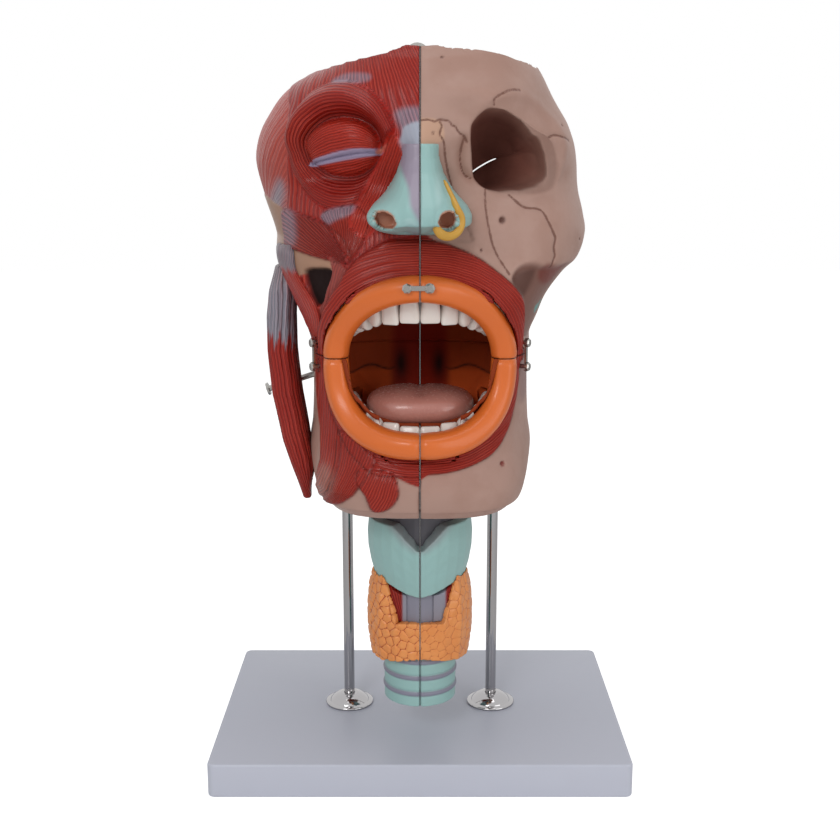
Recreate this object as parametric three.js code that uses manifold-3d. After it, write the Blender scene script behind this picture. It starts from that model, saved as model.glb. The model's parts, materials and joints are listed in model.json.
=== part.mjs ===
// Enlarged anatomical head on a two-rod stand. Millimetres, +Z up, +X to the viewer's right, face towards -Y.
// The origin is the centre of the board's underside. The head splits at X = 0 and at the mouth corners.

import * as THREE from 'three';
import { mergeVertices } from 'three/addons/utils/BufferGeometryUtils.js';
import Module from 'manifold-3d';

const wasm = await Module();
wasm.setup();

// Stand
const boardWidth = 300;
const boardDepth = 210;
const boardThick = 25;
const boardCorner = 5;
const boardEdge = 1.5;
const rodSpacing = 110;
const rodDiameter = 8;
const rodCover = 24;
const rodSeat = 12;
const rodChamfer = 1;
const flangeDiameter = 36.5;
const flangeRim = 2;
const flangeHeight = 8;
const flangeHub = 7;
const flangeEdge = 1;
const boltDiameter = 5;
const boltHead = 9;
const boltHeadHeight = 4;
const boltReach = 11;
const washerDiameter = 13;
const washerThick = 1.2;
const counterboreDiameter = 17;
const counterboreDepth = 8;

// Head
const neckClear = 32;
const neckLength = 150;
const headHeight = 303;
const headHalfWidth = 111;
const headDepth = 125;
const headRear = 14;
const jawHeight = 107;
const rearInset = 4;
const wall = 6;
const seamGap = 1;
const levelGap = 0.4;
const fitGap = 0.3;
const cutGap = 0.4;
const overrun = 20;
const columnRadius = 10;
const pegRadius = 6;
const pegHeight = 12;
const socketRise = 26;
const ribThick = 6;

// Mouth
const lipHalfWidth = 55;
const lipHalfHeight = 50;
const lipRadius = 8.5;
const lipDepthRadius = 10;
const lipStand = 7;
const lipBend = 30;
const mouthHalfHeight = 50;
const mouthFront = 150;
const mouthWall = 4;
const archHalfWidth = 46.5;
const archReach = 58.5;
const archSet = 15.5;
const cheekRoom = 14.5;
const toothThick = 8;
const toothHeight = 21;
const upperBite = 24;
const lowerBite = 39;
const toothDip = 16;
const gumThick = 10.5;
const gumHeight = 14;
const ridgeWall = 5;
const tongueHalfWidth = 36;
const tongueHalfLength = 32;
const tongueHalfHeight = 11;
const tongueCentre = 76;
const tongueDrop = 33;
const tongueClear = 120;
const tongueRearClear = 70;
const tongueLift = 5;
const grooveDepth = 1.2;
const grooveHalfWidth = 5;
const rootHalfWidth = 13;
const rootLength = 22;

// Nose and eye socket
const noseDrop = 60;
const philtrum = 21.5;
const noseReach = 37;
const noseSink = 25;
const noseHalfWidth = 32;
const nostrilRadius = 6.5;
const nostrilX = 19;
const nostrilRise = 11.5;
const nostrilDepth = 24;
const alarRadius = 10.5;
const alarTube = 3.2;
const alarSet = 13;
const orbitHalfWidth = 27;
const orbitX = 58;
const orbitDrop = 63;
const orbitStand = 3;
const orbitDepth = 76;
const orbitWall = 3.2;
const slitLength = 22;
const slitWidth = 3.6;
const slitInset = 15;
const slitDrop = 11;

// Neck
const airwayFront = 53;
const airwayOuter = 26;
const airwayInner = 18;
const airwayCore = 22;
const ringPitch = 12;
const ringHeight = 55;
const neckSink = 3;
const cricoidOuter = 27;
const cricothyroidEdge = 1;
const cricothyroidThick = 3.5;
const membraneOuter = 27;
const thyroidOuter = 34;
const prowDepth = 5;
const prowFlareDepth = 8.5;
const glandOuter = 38;
const glandEdge = 2;

// Muscles on the viewer's left
const masseterThick = 17;
const masseterHalfWidth = 19;
const strapHalfWidth = 6;
const strapThick = 7;
const spoolRadius = 4.75;
const spoolDisc = 1.6;
const spoolNeck = 2.2;
const spoolGrip = 5;
const spoolReach = 40;
const spoolSeat = 2;
const spoolFront = 10;
const spoolDrop = 26;
const spoolDropShare = 0.33;

// Hooks
const screwRadius = 1.5;
const screwHead = 3.2;
const screwHeadHeight = 1.8;
const screwReach = 5;
const hookThick = 1.2;
const hookEye = 3;
const hookBar = 3;
const hookClaw = 3.4;
const hookProud = 0.2;
const bossRadius = 4.2;
const bossLength = 9;
const hookHalfSpan = 8;
const hookStudX = 6;
const foreheadStand = 7;
const foreheadDrop = 5;
const lipHookDrop = 1;
const chinInset = 4;
const cheekProud = 3.5;

// Counts
const headLevels = 21;
const headColumns = 10;
const roundSides = 12;
const mouthSides = 14;
const orbitSides = 14;
const smallSides = 8;
const screwSides = 7;

// Shapes without a size: how far points bunch up, how square a section is, how sharply a curve turns
const columnBias = 1.15;
const levelBias = 0.03;
const mouthRoundness = 2.4;
const orbitRoundness = 2.3;
const orbitHeightShare = 0.95;
const lipRoundness = 2.7;
const upperLipCurve = 1;
const lowerLipCurve = 0.74;
const archCurve = 0.87;
const dipCurve = 1.6;
const toothSquareness = 0.55;
const prowFlareCurve = 2.1;

// Angles in radians
const lipSpareTurn = 0.12;
const gumEnd = 1.7;
const roomEnd = 1.8;
const ridgeEnd = 1.9;
const seatEnd = 2;
const cheekTurn = Math.PI / 7;
const cheekAround = 0.92;
const slitTurn = Math.PI / 6;
const alarTurn = Math.PI / 5;

const rodX = rodSpacing / 2;
const rodRadius = rodDiameter / 2;
const airwayBottom = boardThick + neckClear;
const headBottom = airwayBottom + neckLength;
const headTop = headBottom + headHeight;
const seamHeight = headBottom + jawHeight;
const rodTop = seamHeight - rodCover;
const ringTop = airwayBottom + ringHeight;
const lipFront = headDepth + lipStand;
const archCentre = lipFront - archReach - archSet;
const mouthHalfWidth = archHalfWidth + cheekRoom;
const upperToothTip = seamHeight + upperBite;
const lowerToothTip = seamHeight - lowerBite;
const tongueLevel = seamHeight - tongueDrop;
const noseTop = headTop - noseDrop;
const noseBase = seamHeight + lipHalfHeight + lipRadius + philtrum;
const noseTip = headDepth + noseReach;
const noseInside = headDepth - noseSink;
const nostrilZ = noseBase + nostrilRise;
const nostrilFloor = noseTip - nostrilDepth;
const alarFront = noseTip - alarSet;
const orbitZ = headTop - orbitDrop;
const orbitFront = headDepth + orbitStand;
const slitX = orbitX - slitInset;
const slitZ = orbitZ - slitDrop;
const RIGHT = -1;
const LEFT = 1;

// Outlines of the head, as shares of its height against shares of its half width and its depth.
const skullWidthShares = [
  [0, 0.47], [0.02, 0.595], [0.045, 0.66], [0.115, 0.72], [0.18, 0.7], [0.267, 0.685], [0.36, 0.685],
  [0.42, 0.745], [0.469, 0.8], [0.52, 0.9], [0.558, 1.0], [0.61, 1.045], [0.653, 1.027], [0.7, 1.0],
  [0.766, 0.985], [0.815, 0.965], [0.865, 0.928], [0.924, 0.83], [0.974, 0.72], [1, 0.61],
];
const muscleWidthShares = [
  [0, 0.47], [0.02, 0.595], [0.045, 0.66], [0.115, 0.72], [0.18, 0.7], [0.267, 0.685], [0.36, 0.685],
  [0.42, 0.73], [0.469, 0.775], [0.52, 0.84], [0.57, 0.91], [0.61, 0.915], [0.7, 1.0], [0.766, 1.04],
  [0.815, 1.02], [0.86, 0.965], [0.924, 0.83], [0.967, 0.62], [1, 0.4],
];
const depthShares = [
  [0, 0.76], [0.02, 0.9], [0.06, 0.97], [0.115, 0.965], [0.18, 0.93], [0.267, 0.945], [0.36, 0.975],
  [0.46, 1], [0.54, 0.98], [0.63, 0.93], [0.72, 0.87], [0.77, 0.92], [0.82, 0.965], [0.9, 0.945],
  [0.97, 0.88], [1, 0.83],
];
const roundnessShares = [
  [0, 2.2], [0.1, 2.6], [0.3, 3.4], [0.47, 3.3], [0.58, 2.8], [0.7, 2.6], [0.83, 2.7], [1, 2.5],
];
// Swellings and hollows: place across, place up, spread across, spread up, push outwards.
const commonSwellShares = [
  [0, 0.765, 0.1, 0.07, 0.13],
  [0.1, 0.07, 0.2, 0.05, 0.03],
  [0.47, 0.785, 0.2, 0.06, -0.06],
];
const skullSwellShares = [[0.42, 0.89, 0.22, 0.03, 0.035], [0.52, 0.565, 0.14, 0.045, -0.04]];
const muscleSwellShares = [[0.43, 0.79, 0.17, 0.05, 0.13], [0.42, 0.66, 0.25, 0.03, 0.03]];

const finishes = {
  bone: ['#b4968a', 0.55, 0],
  muscle: ['#a33a2c', 0.45, 0],
  lip: ['#e07038', 0.4, 0],
  lining: ['#8c4632', 0.4, 0],
  tooth: ['#e9e7e2', 0.25, 0],
  cartilage: ['#93b8b0', 0.45, 0],
  cricoid: ['#a29ca6', 0.45, 0],
  gland: ['#e8964f', 0.4, 0],
  ring: ['#d6a23a', 0.4, 0],
  tongue: ['#b9776c', 0.3, 0],
  board: ['#bcbec8', 0.4, 0],
  chrome: ['#c9ccd0', 0.15, 1],
  steel: ['#a9abaf', 0.3, 1],
};

// Interpolates a table of shares smoothly.
function along(shares, at) {
  const last = shares.length - 1;
  const slope = (i) =>
    i === 0 || i === last ? 0 : (shares[i + 1][1] - shares[i - 1][1]) / (shares[i + 1][0] - shares[i - 1][0]);
  if (at <= shares[0][0]) return shares[0][1];
  if (at >= shares[last][0]) return shares[last][1];
  const k = shares.findIndex((row) => row[0] > at) - 1;
  const span = shares[k + 1][0] - shares[k][0];
  const t = (at - shares[k][0]) / span;
  const rise = shares[k + 1][1] - shares[k][1];
  const a = slope(k) * span - rise;
  const b = rise - slope(k + 1) * span;
  return shares[k][1] + t * rise + t * (1 - t) * ((1 - t) * a + t * b);
}

// A closed geometry with merged corners, no flat triangles and faces that point out.
function closed(geometry) {
  const bare = new THREE.BufferGeometry().setAttribute('position', geometry.getAttribute('position').clone());
  if (geometry.index) bare.setIndex(geometry.index.clone());
  const merged = mergeVertices(bare);
  const found = merged.index.array;
  const faces = [];
  for (let i = 0; i < found.length; i += 3) {
    const [a, b, c] = [found[i], found[i + 1], found[i + 2]];
    if (a !== b && b !== c && a !== c) faces.push([a, b, c]);
  }
  const at = (i) => new THREE.Vector3().fromBufferAttribute(merged.getAttribute('position'), i);
  const volume = faces.reduce((sum, [a, b, c]) => sum + at(a).dot(at(b).cross(at(c))), 0);
  merged.setIndex((volume < 0 ? faces.map(([a, b, c]) => [a, c, b]) : faces).flat());
  return merged;
}

function solid(geometry) {
  const mesh = closed(geometry);
  return new wasm.Manifold(
    new wasm.Mesh({
      numProp: 3,
      vertProperties: new Float32Array(mesh.getAttribute('position').array),
      triVerts: new Uint32Array(mesh.index.array),
    }),
  );
}

function geometryOf(part) {
  const mesh = part.getMesh();
  const geometry = new THREE.BufferGeometry();
  geometry.setAttribute('position', new THREE.BufferAttribute(new Float32Array(mesh.vertProperties), 3));
  geometry.setIndex(new THREE.BufferAttribute(new Uint32Array(mesh.triVerts), 1));
  return geometry;
}

// The largest body of a solid that was cut, without the slivers beside it.
function mainBody(part) {
  return part.decompose().sort((a, b) => b.volume() - a.volume())[0];
}

function fromTriangles(points, faces) {
  const geometry = new THREE.BufferGeometry();
  geometry.setAttribute('position', new THREE.Float32BufferAttribute(points.flatMap((p) => p.toArray()), 3));
  geometry.setIndex(faces.flat());
  return geometry;
}

// A solid through closed rings of points, with a fan over each end.
function loft(rings) {
  const sides = rings[0].length;
  const points = rings.flat();
  const faces = [];
  for (let r = 0; r + 1 < rings.length; r++) {
    for (let i = 0; i < sides; i++) {
      const [a, b] = [r * sides + i, r * sides + ((i + 1) % sides)];
      faces.push([a, b, a + sides], [b, b + sides, a + sides]);
    }
  }
  for (const r of [0, rings.length - 1]) {
    const centre = rings[r].reduce((sum, p) => sum.add(p), new THREE.Vector3()).divideScalar(sides);
    points.push(centre);
    for (let i = 0; i < sides; i++) {
      const [a, b, c] = [r * sides + i, r * sides + ((i + 1) % sides), points.length - 1];
      faces.push(r === 0 ? [b, a, c] : [a, b, c]);
    }
  }
  return solid(fromTriangles(points, faces));
}

// A curved wall between an inner and an outer sheet over the same grid.
function curvedWall(inner, outer, across, up) {
  const points = [];
  for (const sheet of [inner, outer]) {
    for (let j = 0; j <= up; j++) {
      for (let i = 0; i <= across; i++) points.push(sheet(i / across, j / up));
    }
  }
  const row = across + 1;
  const shift = row * (up + 1);
  const faces = [];
  const quad = (a, b, c, d) => faces.push([a, b, c], [a, c, d]);
  for (let j = 0; j < up; j++) {
    for (let i = 0; i < across; i++) {
      const a = j * row + i;
      quad(a, a + row, a + row + 1, a + 1);
      quad(a + shift, a + 1 + shift, a + row + 1 + shift, a + row + shift);
    }
  }
  for (let i = 0; i < across; i++) {
    const top = up * row + i;
    quad(i, i + 1, i + 1 + shift, i + shift);
    quad(top + 1, top, top + shift, top + 1 + shift);
  }
  for (let j = 0; j < up; j++) {
    const [a, b] = [j * row, j * row + across];
    quad(a + row, a, a + shift, a + row + shift);
    quad(b, b + row, b + row + shift, b + shift);
  }
  return solid(fromTriangles(points, faces));
}

function block(x0, x1, y0, y1, z0, z1) {
  const box = new THREE.BoxGeometry(x1 - x0, y1 - y0, z1 - z0);
  return solid(box.translate((x0 + x1) / 2, (y0 + y1) / 2, (z0 + z1) / 2));
}

// A round bar from one point to another.
function bar(from, to, radius, sides = smallSides) {
  const way = to.clone().sub(from);
  const geometry = new THREE.CylinderGeometry(radius, radius, way.length(), sides);
  geometry.applyQuaternion(new THREE.Quaternion().setFromUnitVectors(axisY, way.clone().normalize()));
  return solid(geometry.translate(...from.clone().add(to).divideScalar(2).toArray()));
}

const axisY = new THREE.Vector3(0, 1, 0);
const point = (x, y, z) => new THREE.Vector3(x, y, z);

// A ring of a rounded rectangle: unit points with the given roundness.
function squircle(sides, roundness) {
  const bend = (v) => Math.sign(v) * Math.abs(v) ** (2 / roundness);
  return Array.from({ length: sides }, (_, i) => {
    const angle = (2 * Math.PI * i) / sides;
    return [bend(Math.cos(angle)), bend(Math.sin(angle))];
  });
}

function headShape(side, height) {
  const share = (height - headBottom) / headHeight;
  const widths = side === LEFT ? skullWidthShares : muscleWidthShares;
  return {
    share,
    width: headHalfWidth * along(widths, share),
    depth: headDepth * along(depthShares, share),
    roundness: along(roundnessShares, share),
  };
}

function swell(side, x, share) {
  const shares = commonSwellShares.concat(side === LEFT ? skullSwellShares : muscleSwellShares);
  const across = x / headHalfWidth;
  return shares.reduce((sum, [cx, cz, sx, sz, push]) => {
    const away = ((across - cx) / sx) ** 2 + ((share - cz) / sz) ** 2;
    return sum + headDepth * push * Math.exp(-away);
  }, 0);
}

// One level of a half head, from the front of the seam round to the rear, grown outwards by grow.
function headRing(side, height, grow, swells) {
  const { share, width, depth, roundness } = headShape(side, height);
  const ring = [];
  for (let i = 0; i <= headColumns; i++) {
    const turn = (Math.PI / 2) * (i / headColumns) ** columnBias;
    const x = width * Math.sin(turn) ** (2 / roundness);
    const y = -depth * Math.abs(Math.cos(turn)) ** (2 / roundness);
    const reach = Math.hypot(x, y);
    const push = grow + (swells ? swell(side, x, share) : 0);
    ring.push(point(x + (x / reach) * push, Math.min(0, y + (y / reach) * push), height));
  }
  ring.push(point(width + grow, headRear + Math.max(0, grow), height));
  ring.push(point(rearInset, headRear + Math.max(0, grow), height));
  ring.push(point(0, -rearInset, height));
  return ring;
}

// Half of the head's outer form, with X from 0 outwards.
function halfForm(side, grow) {
  const rings = [];
  for (let i = 0; i <= headLevels; i++) {
    const t = i / headLevels;
    const share = t + levelBias * Math.sin(2 * Math.PI * t);
    rings.push(headRing(side, headBottom + headHeight * (t === 0 || t === 1 ? t : share), grow, true));
  }
  if (grow > 0) {
    for (const p of rings[0]) p.z -= grow;
    for (const p of rings[headLevels]) p.z += grow;
  }
  return loft(rings);
}

// The hollow behind the face, open at the top and at the rear.
function hollowForm(side) {
  const levels = Math.round(headLevels / 3);
  const rings = [];
  for (let i = 0; i <= levels; i++) {
    const height = headBottom + wall + (headHeight - wall) * (i / levels);
    const ring = headRing(side, height, -wall, false);
    for (const p of ring.slice(headColumns + 1)) p.y = headRear + overrun;
    ring[headColumns + 3].x = ring[headColumns + 2].x = -overrun;
    ring[0].x = -overrun;
    if (i === levels) for (const p of ring) p.z += overrun;
    rings.push(ring);
  }
  return loft(rings);
}

// Rings of the mouth from the lips to the throat: depth, half width and half height shares.
const mouthShares = [
  [1, 0.75, 0.84], [0.79, 0.75, 0.84], [0.7, 0.82, 0.9], [0.6, 0.95, 0.97], [0.49, 1, 1], [0.36, 0.94, 0.98],
  [0.25, 0.78, 0.86], [0.2, 0.5, 0.55],
];

// The cavity of the mouth, grown by grow, from the lips to the throat.
function mouthForm(grow) {
  const unit = squircle(mouthSides, mouthRoundness);
  const rings = mouthShares.map(([depth, width, height]) => {
    const y = -mouthFront * depth + (depth === mouthShares.at(-1)[0] ? grow : 0);
    return unit.map(([u, w]) =>
      point(u * (mouthHalfWidth * width + grow), y, seamHeight + w * (mouthHalfHeight * height + grow)));
  });
  return loft(rings);
}

// The eye socket: rings from the rim back to its narrow end, as shares of depth, radius, X and Z.
const orbitShares = [
  [1, 1.12, 1.03, 1.004], [0.78, 1, 1, 1], [0.62, 0.8, 0.91, 0.993], [0.49, 0.5, 0.79, 0.985], [0.41, 0.25, 0.71, 0.98],
];

function orbitForm(grow) {
  const unit = squircle(orbitSides, orbitRoundness);
  return loft(orbitShares.map(([depth, radius, x, z]) => unit.map(([u, w]) => {
    const reach = orbitHalfWidth * radius + grow;
    const y = -orbitFront * depth + (depth === orbitShares.at(-1)[0] ? grow : 0);
    return point(orbitX * x + u * reach, y, orbitZ * z + w * reach * orbitHeightShare);
  })));
}

function orbitSlit() {
  const slit = new THREE.BoxGeometry(slitLength, orbitDepth, slitWidth);
  slit.rotateY(-slitTurn);
  return solid(slit.translate(slitX, orbitDepth - orbitFront, slitZ));
}

// The block that keeps one quarter of the head: everything outside the two seams.
function quarter(upper) {
  const reach = headHalfWidth + headDepth;
  const [low, high] = upper ? [seamHeight + levelGap / 2, headTop + reach] : [0, seamHeight - levelGap / 2];
  return block(seamGap / 2, 2 * reach, -2 * reach, reach, low, high);
}

// Points and directions along half of the lip ring, from the mouth corner to the middle.
function lipStation(turn) {
  const [c, s] = [Math.cos(turn), Math.sin(turn)];
  const curve = s < 0 ? lowerLipCurve : upperLipCurve;
  const x = lipHalfWidth * Math.sign(c) * Math.abs(c) ** curve;
  const z = lipHalfHeight * Math.sign(s) * Math.abs(s) ** curve;
  const out = point(c / lipHalfWidth, 0, s / lipHalfHeight).normalize();
  const y = -lipFront + lipBend * (x / lipHalfWidth) ** 2;
  return { centre: point(x, y, seamHeight + z), out };
}

function lipForm(upper, grow) {
  const steps = 8;
  const sign = upper ? 1 : -1;
  const rings = [];
  for (let i = 0; i <= steps; i++) {
    const turn = sign * (-lipSpareTurn + (i / steps) * (Math.PI / 2 + 2 * lipSpareTurn));
    const { centre, out } = lipStation(turn);
    rings.push(squircle(smallSides, lipRoundness).map(([u, w]) =>
      centre.clone().addScaledVector(out, u * (lipRadius + grow)).add(point(0, w * (lipDepthRadius + grow), 0))));
  }
  return loft(rings);
}

// The tooth row's curve in plan: a place and its outward direction. Past a quarter turn it runs straight back.
function archStation(turn) {
  const spare = Math.max(0, turn - Math.PI / 2);
  const [c, s] = [Math.cos(turn - spare), Math.sin(turn - spare)];
  const x = archHalfWidth * Math.sign(s) * Math.abs(s) ** archCurve;
  const y = -archCentre - archReach * Math.abs(c) ** archCurve + archReach * spare;
  const out = point(s / archHalfWidth, -c / archReach, 0).normalize();
  return { x, y, out };
}

// How far the upper row hangs down at a turn; its back teeth are lower than its front teeth.
const rowDip = (upper, turn) => (upper ? toothDip * Math.min(1, Math.abs(turn) / (Math.PI / 2)) ** dipCurve : 0);

// A strip along a tooth row between two heights.
function archStrip(upper, low, high, thick, grow, end) {
  const steps = 5;
  const turns = [-Math.PI / 4 / steps];
  for (let i = 0; i <= steps; i++) turns.push(((i / steps) * Math.PI) / 2);
  turns.push(end);
  return loft(turns.map((turn) => {
    const { x, y, out } = archStation(turn);
    const half = thick / 2 + grow;
    const corner = (n, z) => point(x + out.x * n, y + out.y * n, z - rowDip(upper, turn));
    return [
      corner(-half, low - grow), corner(half, low - grow), corner(half, high + grow), corner(-half, high + grow),
    ];
  }));
}

const gumLevels = (upper) => {
  const base = upper ? upperToothTip + toothHeight - gumHeight / 2 : lowerToothTip - toothHeight + gumHeight / 2;
  return upper ? [base, base + gumHeight] : [base - gumHeight, base];
};

const gumForm = (upper, grow, end = gumEnd) => archStrip(upper, ...gumLevels(upper), gumThick, grow, end);

// The room in the jaw that a tooth row and its gum stand in, grown by grow.
function toothRoom(upper, grow, end) {
  const [low, high] = gumLevels(upper);
  const levels = upper ? [upperToothTip, high] : [low, lowerToothTip + toothThick];
  return archStrip(upper, ...levels, gumThick, grow, end);
}

// Widths of a quarter's seven teeth as shares of the tooth row, with each one's height share.
const toothShares = [[0.16, 1], [0.145, 0.98], [0.13, 1], [0.125, 0.9], [0.13, 0.86], [0.16, 0.8], [0.15, 0.76]];

// The angle at which the tooth row has the given length from the middle line.
function archTurn(length) {
  const steps = 60;
  let [turn, sum] = [0, 0];
  for (let i = 1; i <= steps; i++) {
    const [from, to] = [archStation(turn), archStation((i / steps) * (Math.PI / 2))];
    const step = Math.hypot(to.x - from.x, to.y - from.y);
    if (sum + step >= length) return turn + ((length - sum) / step) * (Math.PI / 2 / steps);
    [turn, sum] = [(i / steps) * (Math.PI / 2), sum + step];
  }
  return Math.PI / 2;
}

function teethForm(upper) {
  const forms = [gumForm(upper, 0)];
  const rowLength = (Math.PI / 2) * Math.sqrt((archHalfWidth ** 2 + archReach ** 2) / 2);
  let done = 0;
  for (const [widthShare, heightShare] of toothShares) {
    const width = widthShare * rowLength;
    const turn = archTurn(done + width / 2 + seamGap / 2);
    const { x, y, out } = archStation(turn);
    const height = toothHeight * heightShare;
    const tooth = new THREE.SphereGeometry(1, 6, 5);
    const at = tooth.getAttribute('position');
    const square = (v) => Math.sign(v) * Math.abs(v) ** toothSquareness;
    for (let i = 0; i < at.count; i++) at.setXYZ(i, square(at.getX(i)), square(at.getZ(i)), square(at.getY(i)));
    tooth.scale((width / 2) * 0.97, toothThick / 2, height / 2);
    tooth.rotateZ(Math.atan2(out.x, -out.y));
    const tipShift = toothHeight - height;
    const z = upper ? upperToothTip + tipShift + height / 2 : lowerToothTip + tipShift / 2 - height / 2;
    forms.push(solid(tooth.translate(x, y, z - rowDip(upper, turn))));
    done += width;
  }
  return forms.reduce((sum, form) => sum.add(form));
}

// The nose's soft front: level share from base to top against shares of ridge and half width.
const noseRidgeShares = [[0, 0.3], [0.08, 0.93], [0.22, 1], [0.4, 0.87], [0.7, 0.64], [1, 0.58]];
const noseWidthShares = [[0, 0.62], [0.1, 0.96], [0.25, 1], [0.45, 0.76], [0.7, 0.48], [1, 0.42]];

function noseForm(grow) {
  const levels = 9;
  const rings = [];
  for (let i = 0; i <= levels; i++) {
    const t = i / levels;
    const share = 0.5 * t + 0.5 * t * t;
    const ridge = (noseTip - noseInside) * along(noseRidgeShares, share) + grow;
    const width = noseHalfWidth * along(noseWidthShares, share) + grow;
    const z = noseBase + (noseTop - noseBase) * share + (i === 0 ? -grow : 0) + (i === levels ? grow : 0);
    const ring = [];
    for (let j = 0; j <= 8; j++) {
      const turn = (Math.PI / 2) * (j / 8);
      ring.push(point(width * Math.sin(turn) ** 0.8, -noseInside - ridge * Math.abs(Math.cos(turn)) ** 0.75, z));
    }
    ring.push(point(width, -noseInside + overrun, z), point(0, -noseInside + overrun, z));
    rings.push(ring);
  }
  return loft(rings);
}

function nostril() {
  const from = point(nostrilX, -noseTip - overrun, nostrilZ - nostrilRadius / 2);
  const to = point(nostrilX, -nostrilFloor, nostrilZ);
  return bar(from, to, nostrilRadius, smallSides);
}

function alarRing(grow) {
  const ring = new THREE.TorusGeometry(alarRadius, alarTube + grow, 6, 12);
  ring.rotateX(Math.PI / 2);
  ring.rotateZ(alarTurn);
  return solid(ring.translate(nostrilX, -alarFront, nostrilZ));
}

// A wall round the airway between two angles from the front, with heights and radii as functions of the angle.
function airwayWall({ from = 0, to = Math.PI, low, high, inner, outer, across = 7, up = 3, grow = 0 }) {
  const sheet = (radius, out) => (u, w) => {
    const turn = from - grow / airwayOuter + u * (to - from + (2 * grow) / airwayOuter);
    const z = low(turn) - grow + w * (high(turn) - low(turn) + 2 * grow);
    const r = radius(turn, z) + out * grow;
    return point(r * Math.sin(turn), -airwayFront - r * Math.cos(turn), z);
  };
  return curvedWall(sheet(inner, -1), sheet(outer, 1), across, up);
}

const always = (value) => () => value;
const degrees = (value) => (value * Math.PI) / 180;
const neckHeight = headBottom - fitGap - airwayBottom;
const neckLevel = (share) => airwayBottom + neckHeight * share;

function airwayForm(grow) {
  const ripple = (z) => {
    const phase = ((z - airwayBottom) / ringPitch) % 1;
    return airwayOuter - (airwayOuter - airwayCore) * 0.55 * (phase > 0.7 ? 1 : 0);
  };
  const lower = airwayWall({
    from: -0.3, low: always(airwayBottom), high: always(ringTop), inner: always(airwayInner),
    outer: (_, z) => ripple(z), up: 9, grow,
  });
  const upper = airwayWall({
    from: -0.3, low: always(ringTop - fitGap), high: always(headBottom - fitGap - grow), inner: always(airwayInner),
    outer: always(airwayCore), up: 2, grow,
  });
  return lower.add(upper);
}

const sideShare = (turn, start, end) => {
  const t = Math.min(1, Math.max(0, (Math.abs(turn) - degrees(start)) / degrees(end - start)));
  return t * t * (3 - 2 * t);
};

function cricoidForm(grow) {
  return airwayWall({
    from: -0.3, low: (t) => neckLevel(0.42), high: (t) => neckLevel(0.56 + 0.1 * sideShare(t, 60, 150)),
    inner: always(airwayCore - neckSink), outer: always(cricoidOuter), across: 9, up: 2, grow,
  });
}

function cricothyroidForm(grow) {
  const swellOut = (t, z) => {
    const across = Math.sin((Math.PI * (t - degrees(20))) / degrees(48));
    return cricoidOuter + cricothyroidEdge + cricothyroidThick * Math.max(0, across);
  };
  return airwayWall({
    from: degrees(20), to: degrees(68), low: always(neckLevel(0.43)), high: (t) => neckLevel(0.56 + 0.07 * sideShare(t, 20, 68)),
    inner: always(airwayCore), outer: swellOut, across: 5, up: 4, grow,
  });
}

function thyroidCartilageForm(grow) {
  const prow = (t, z) => {
    const rise = (z - neckLevel(0.55)) / (neckLevel(0.91) - neckLevel(0.55));
    const front = Math.max(0, 1 - Math.abs(t) / degrees(50));
    return thyroidOuter - prowDepth + prowFlareDepth * Math.sin(prowFlareCurve * rise) + prowDepth * front * front * (0.5 + rise / 2);
  };
  return airwayWall({
    from: -0.2, to: degrees(118),
    low: (t) => neckLevel(0.56 + 0.06 * sideShare(t, 0, 60) - 0.05 * sideShare(t, 80, 118)),
    high: (t) => neckLevel(0.8 + 0.11 * sideShare(t, 0, 32)),
    inner: always(airwayCore - neckSink), outer: prow, across: 9, up: 4, grow,
  });
}

function membraneForm(grow) {
  return airwayWall({
    from: -0.3, to: degrees(150), low: always(neckLevel(0.79)), high: always(headBottom - fitGap - grow),
    inner: always(airwayCore - neckSink), outer: always(membraneOuter), across: 7, up: 2, grow,
  });
}

function glandForm() {
  const bulge = (t, z) => {
    const rise = (z - neckLevel(0.24)) / (neckLevel(0.67) - neckLevel(0.24));
    const round = Math.sqrt(Math.max(0, 1 - (2 * rise - 0.85) ** 2 / 1.6));
    return cricoidOuter + glandEdge + (glandOuter - cricoidOuter - glandEdge) * round * (0.35 + 0.65 * sideShare(t, 8, 45));
  };
  return airwayWall({
    from: -0.2, to: degrees(112), low: (t) => neckLevel(0.25 - 0.02 * sideShare(t, 10, 50)),
    high: (t) => neckLevel(0.43 + 0.24 * sideShare(t, 34, 54)),
    inner: always(airwayCore), outer: bulge, across: 6, up: 4,
  });
}

// The chewing muscle: places down its length as shares, with its width and thickness.
const masseterShares = [
  [0.535, 0.84, 0.34, 0.85, 0.8], [0.48, 0.87, 0.33, 1, 0.9], [0.42, 0.885, 0.32, 1, 1], [0.34, 0.885, 0.32, 0.97, 1],
  [0.24, 0.865, 0.32, 0.9, 0.95], [0.13, 0.815, 0.33, 0.78, 0.8], [0.05, 0.76, 0.35, 0.55, 0.6], [-0.01, 0.725, 0.37, 0.3, 0.35],
];

function masseterForm() {
  return loft(masseterShares.map(([level, x, y, breadth, thick]) => squircle(12, 2.4).map(([u, w]) =>
    point(headHalfWidth * x + (u * masseterThick * thick) / 2, -headDepth * y + w * masseterHalfWidth * breadth,
      headBottom + headHeight * level))));
}

// The strap from the cheekbone to the mouth corner.
const strapShares = [
  [0.575, 0.87, 0.5, 0.9], [0.53, 0.76, 0.66, 1], [0.47, 0.66, 0.79, 1], [0.41, 0.615, 0.83, 0.9], [0.345, 0.605, 0.82, 0.8],
];

function strapForm() {
  return loft(strapShares.map(([level, x, y, breadth]) => squircle(10, 2.2).map(([u, w]) =>
    point(headHalfWidth * x + u * strapHalfWidth * breadth, -headDepth * y + w * strapThick,
      headBottom + headHeight * level + u * strapHalfWidth * breadth * 0.5))));
}

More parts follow.
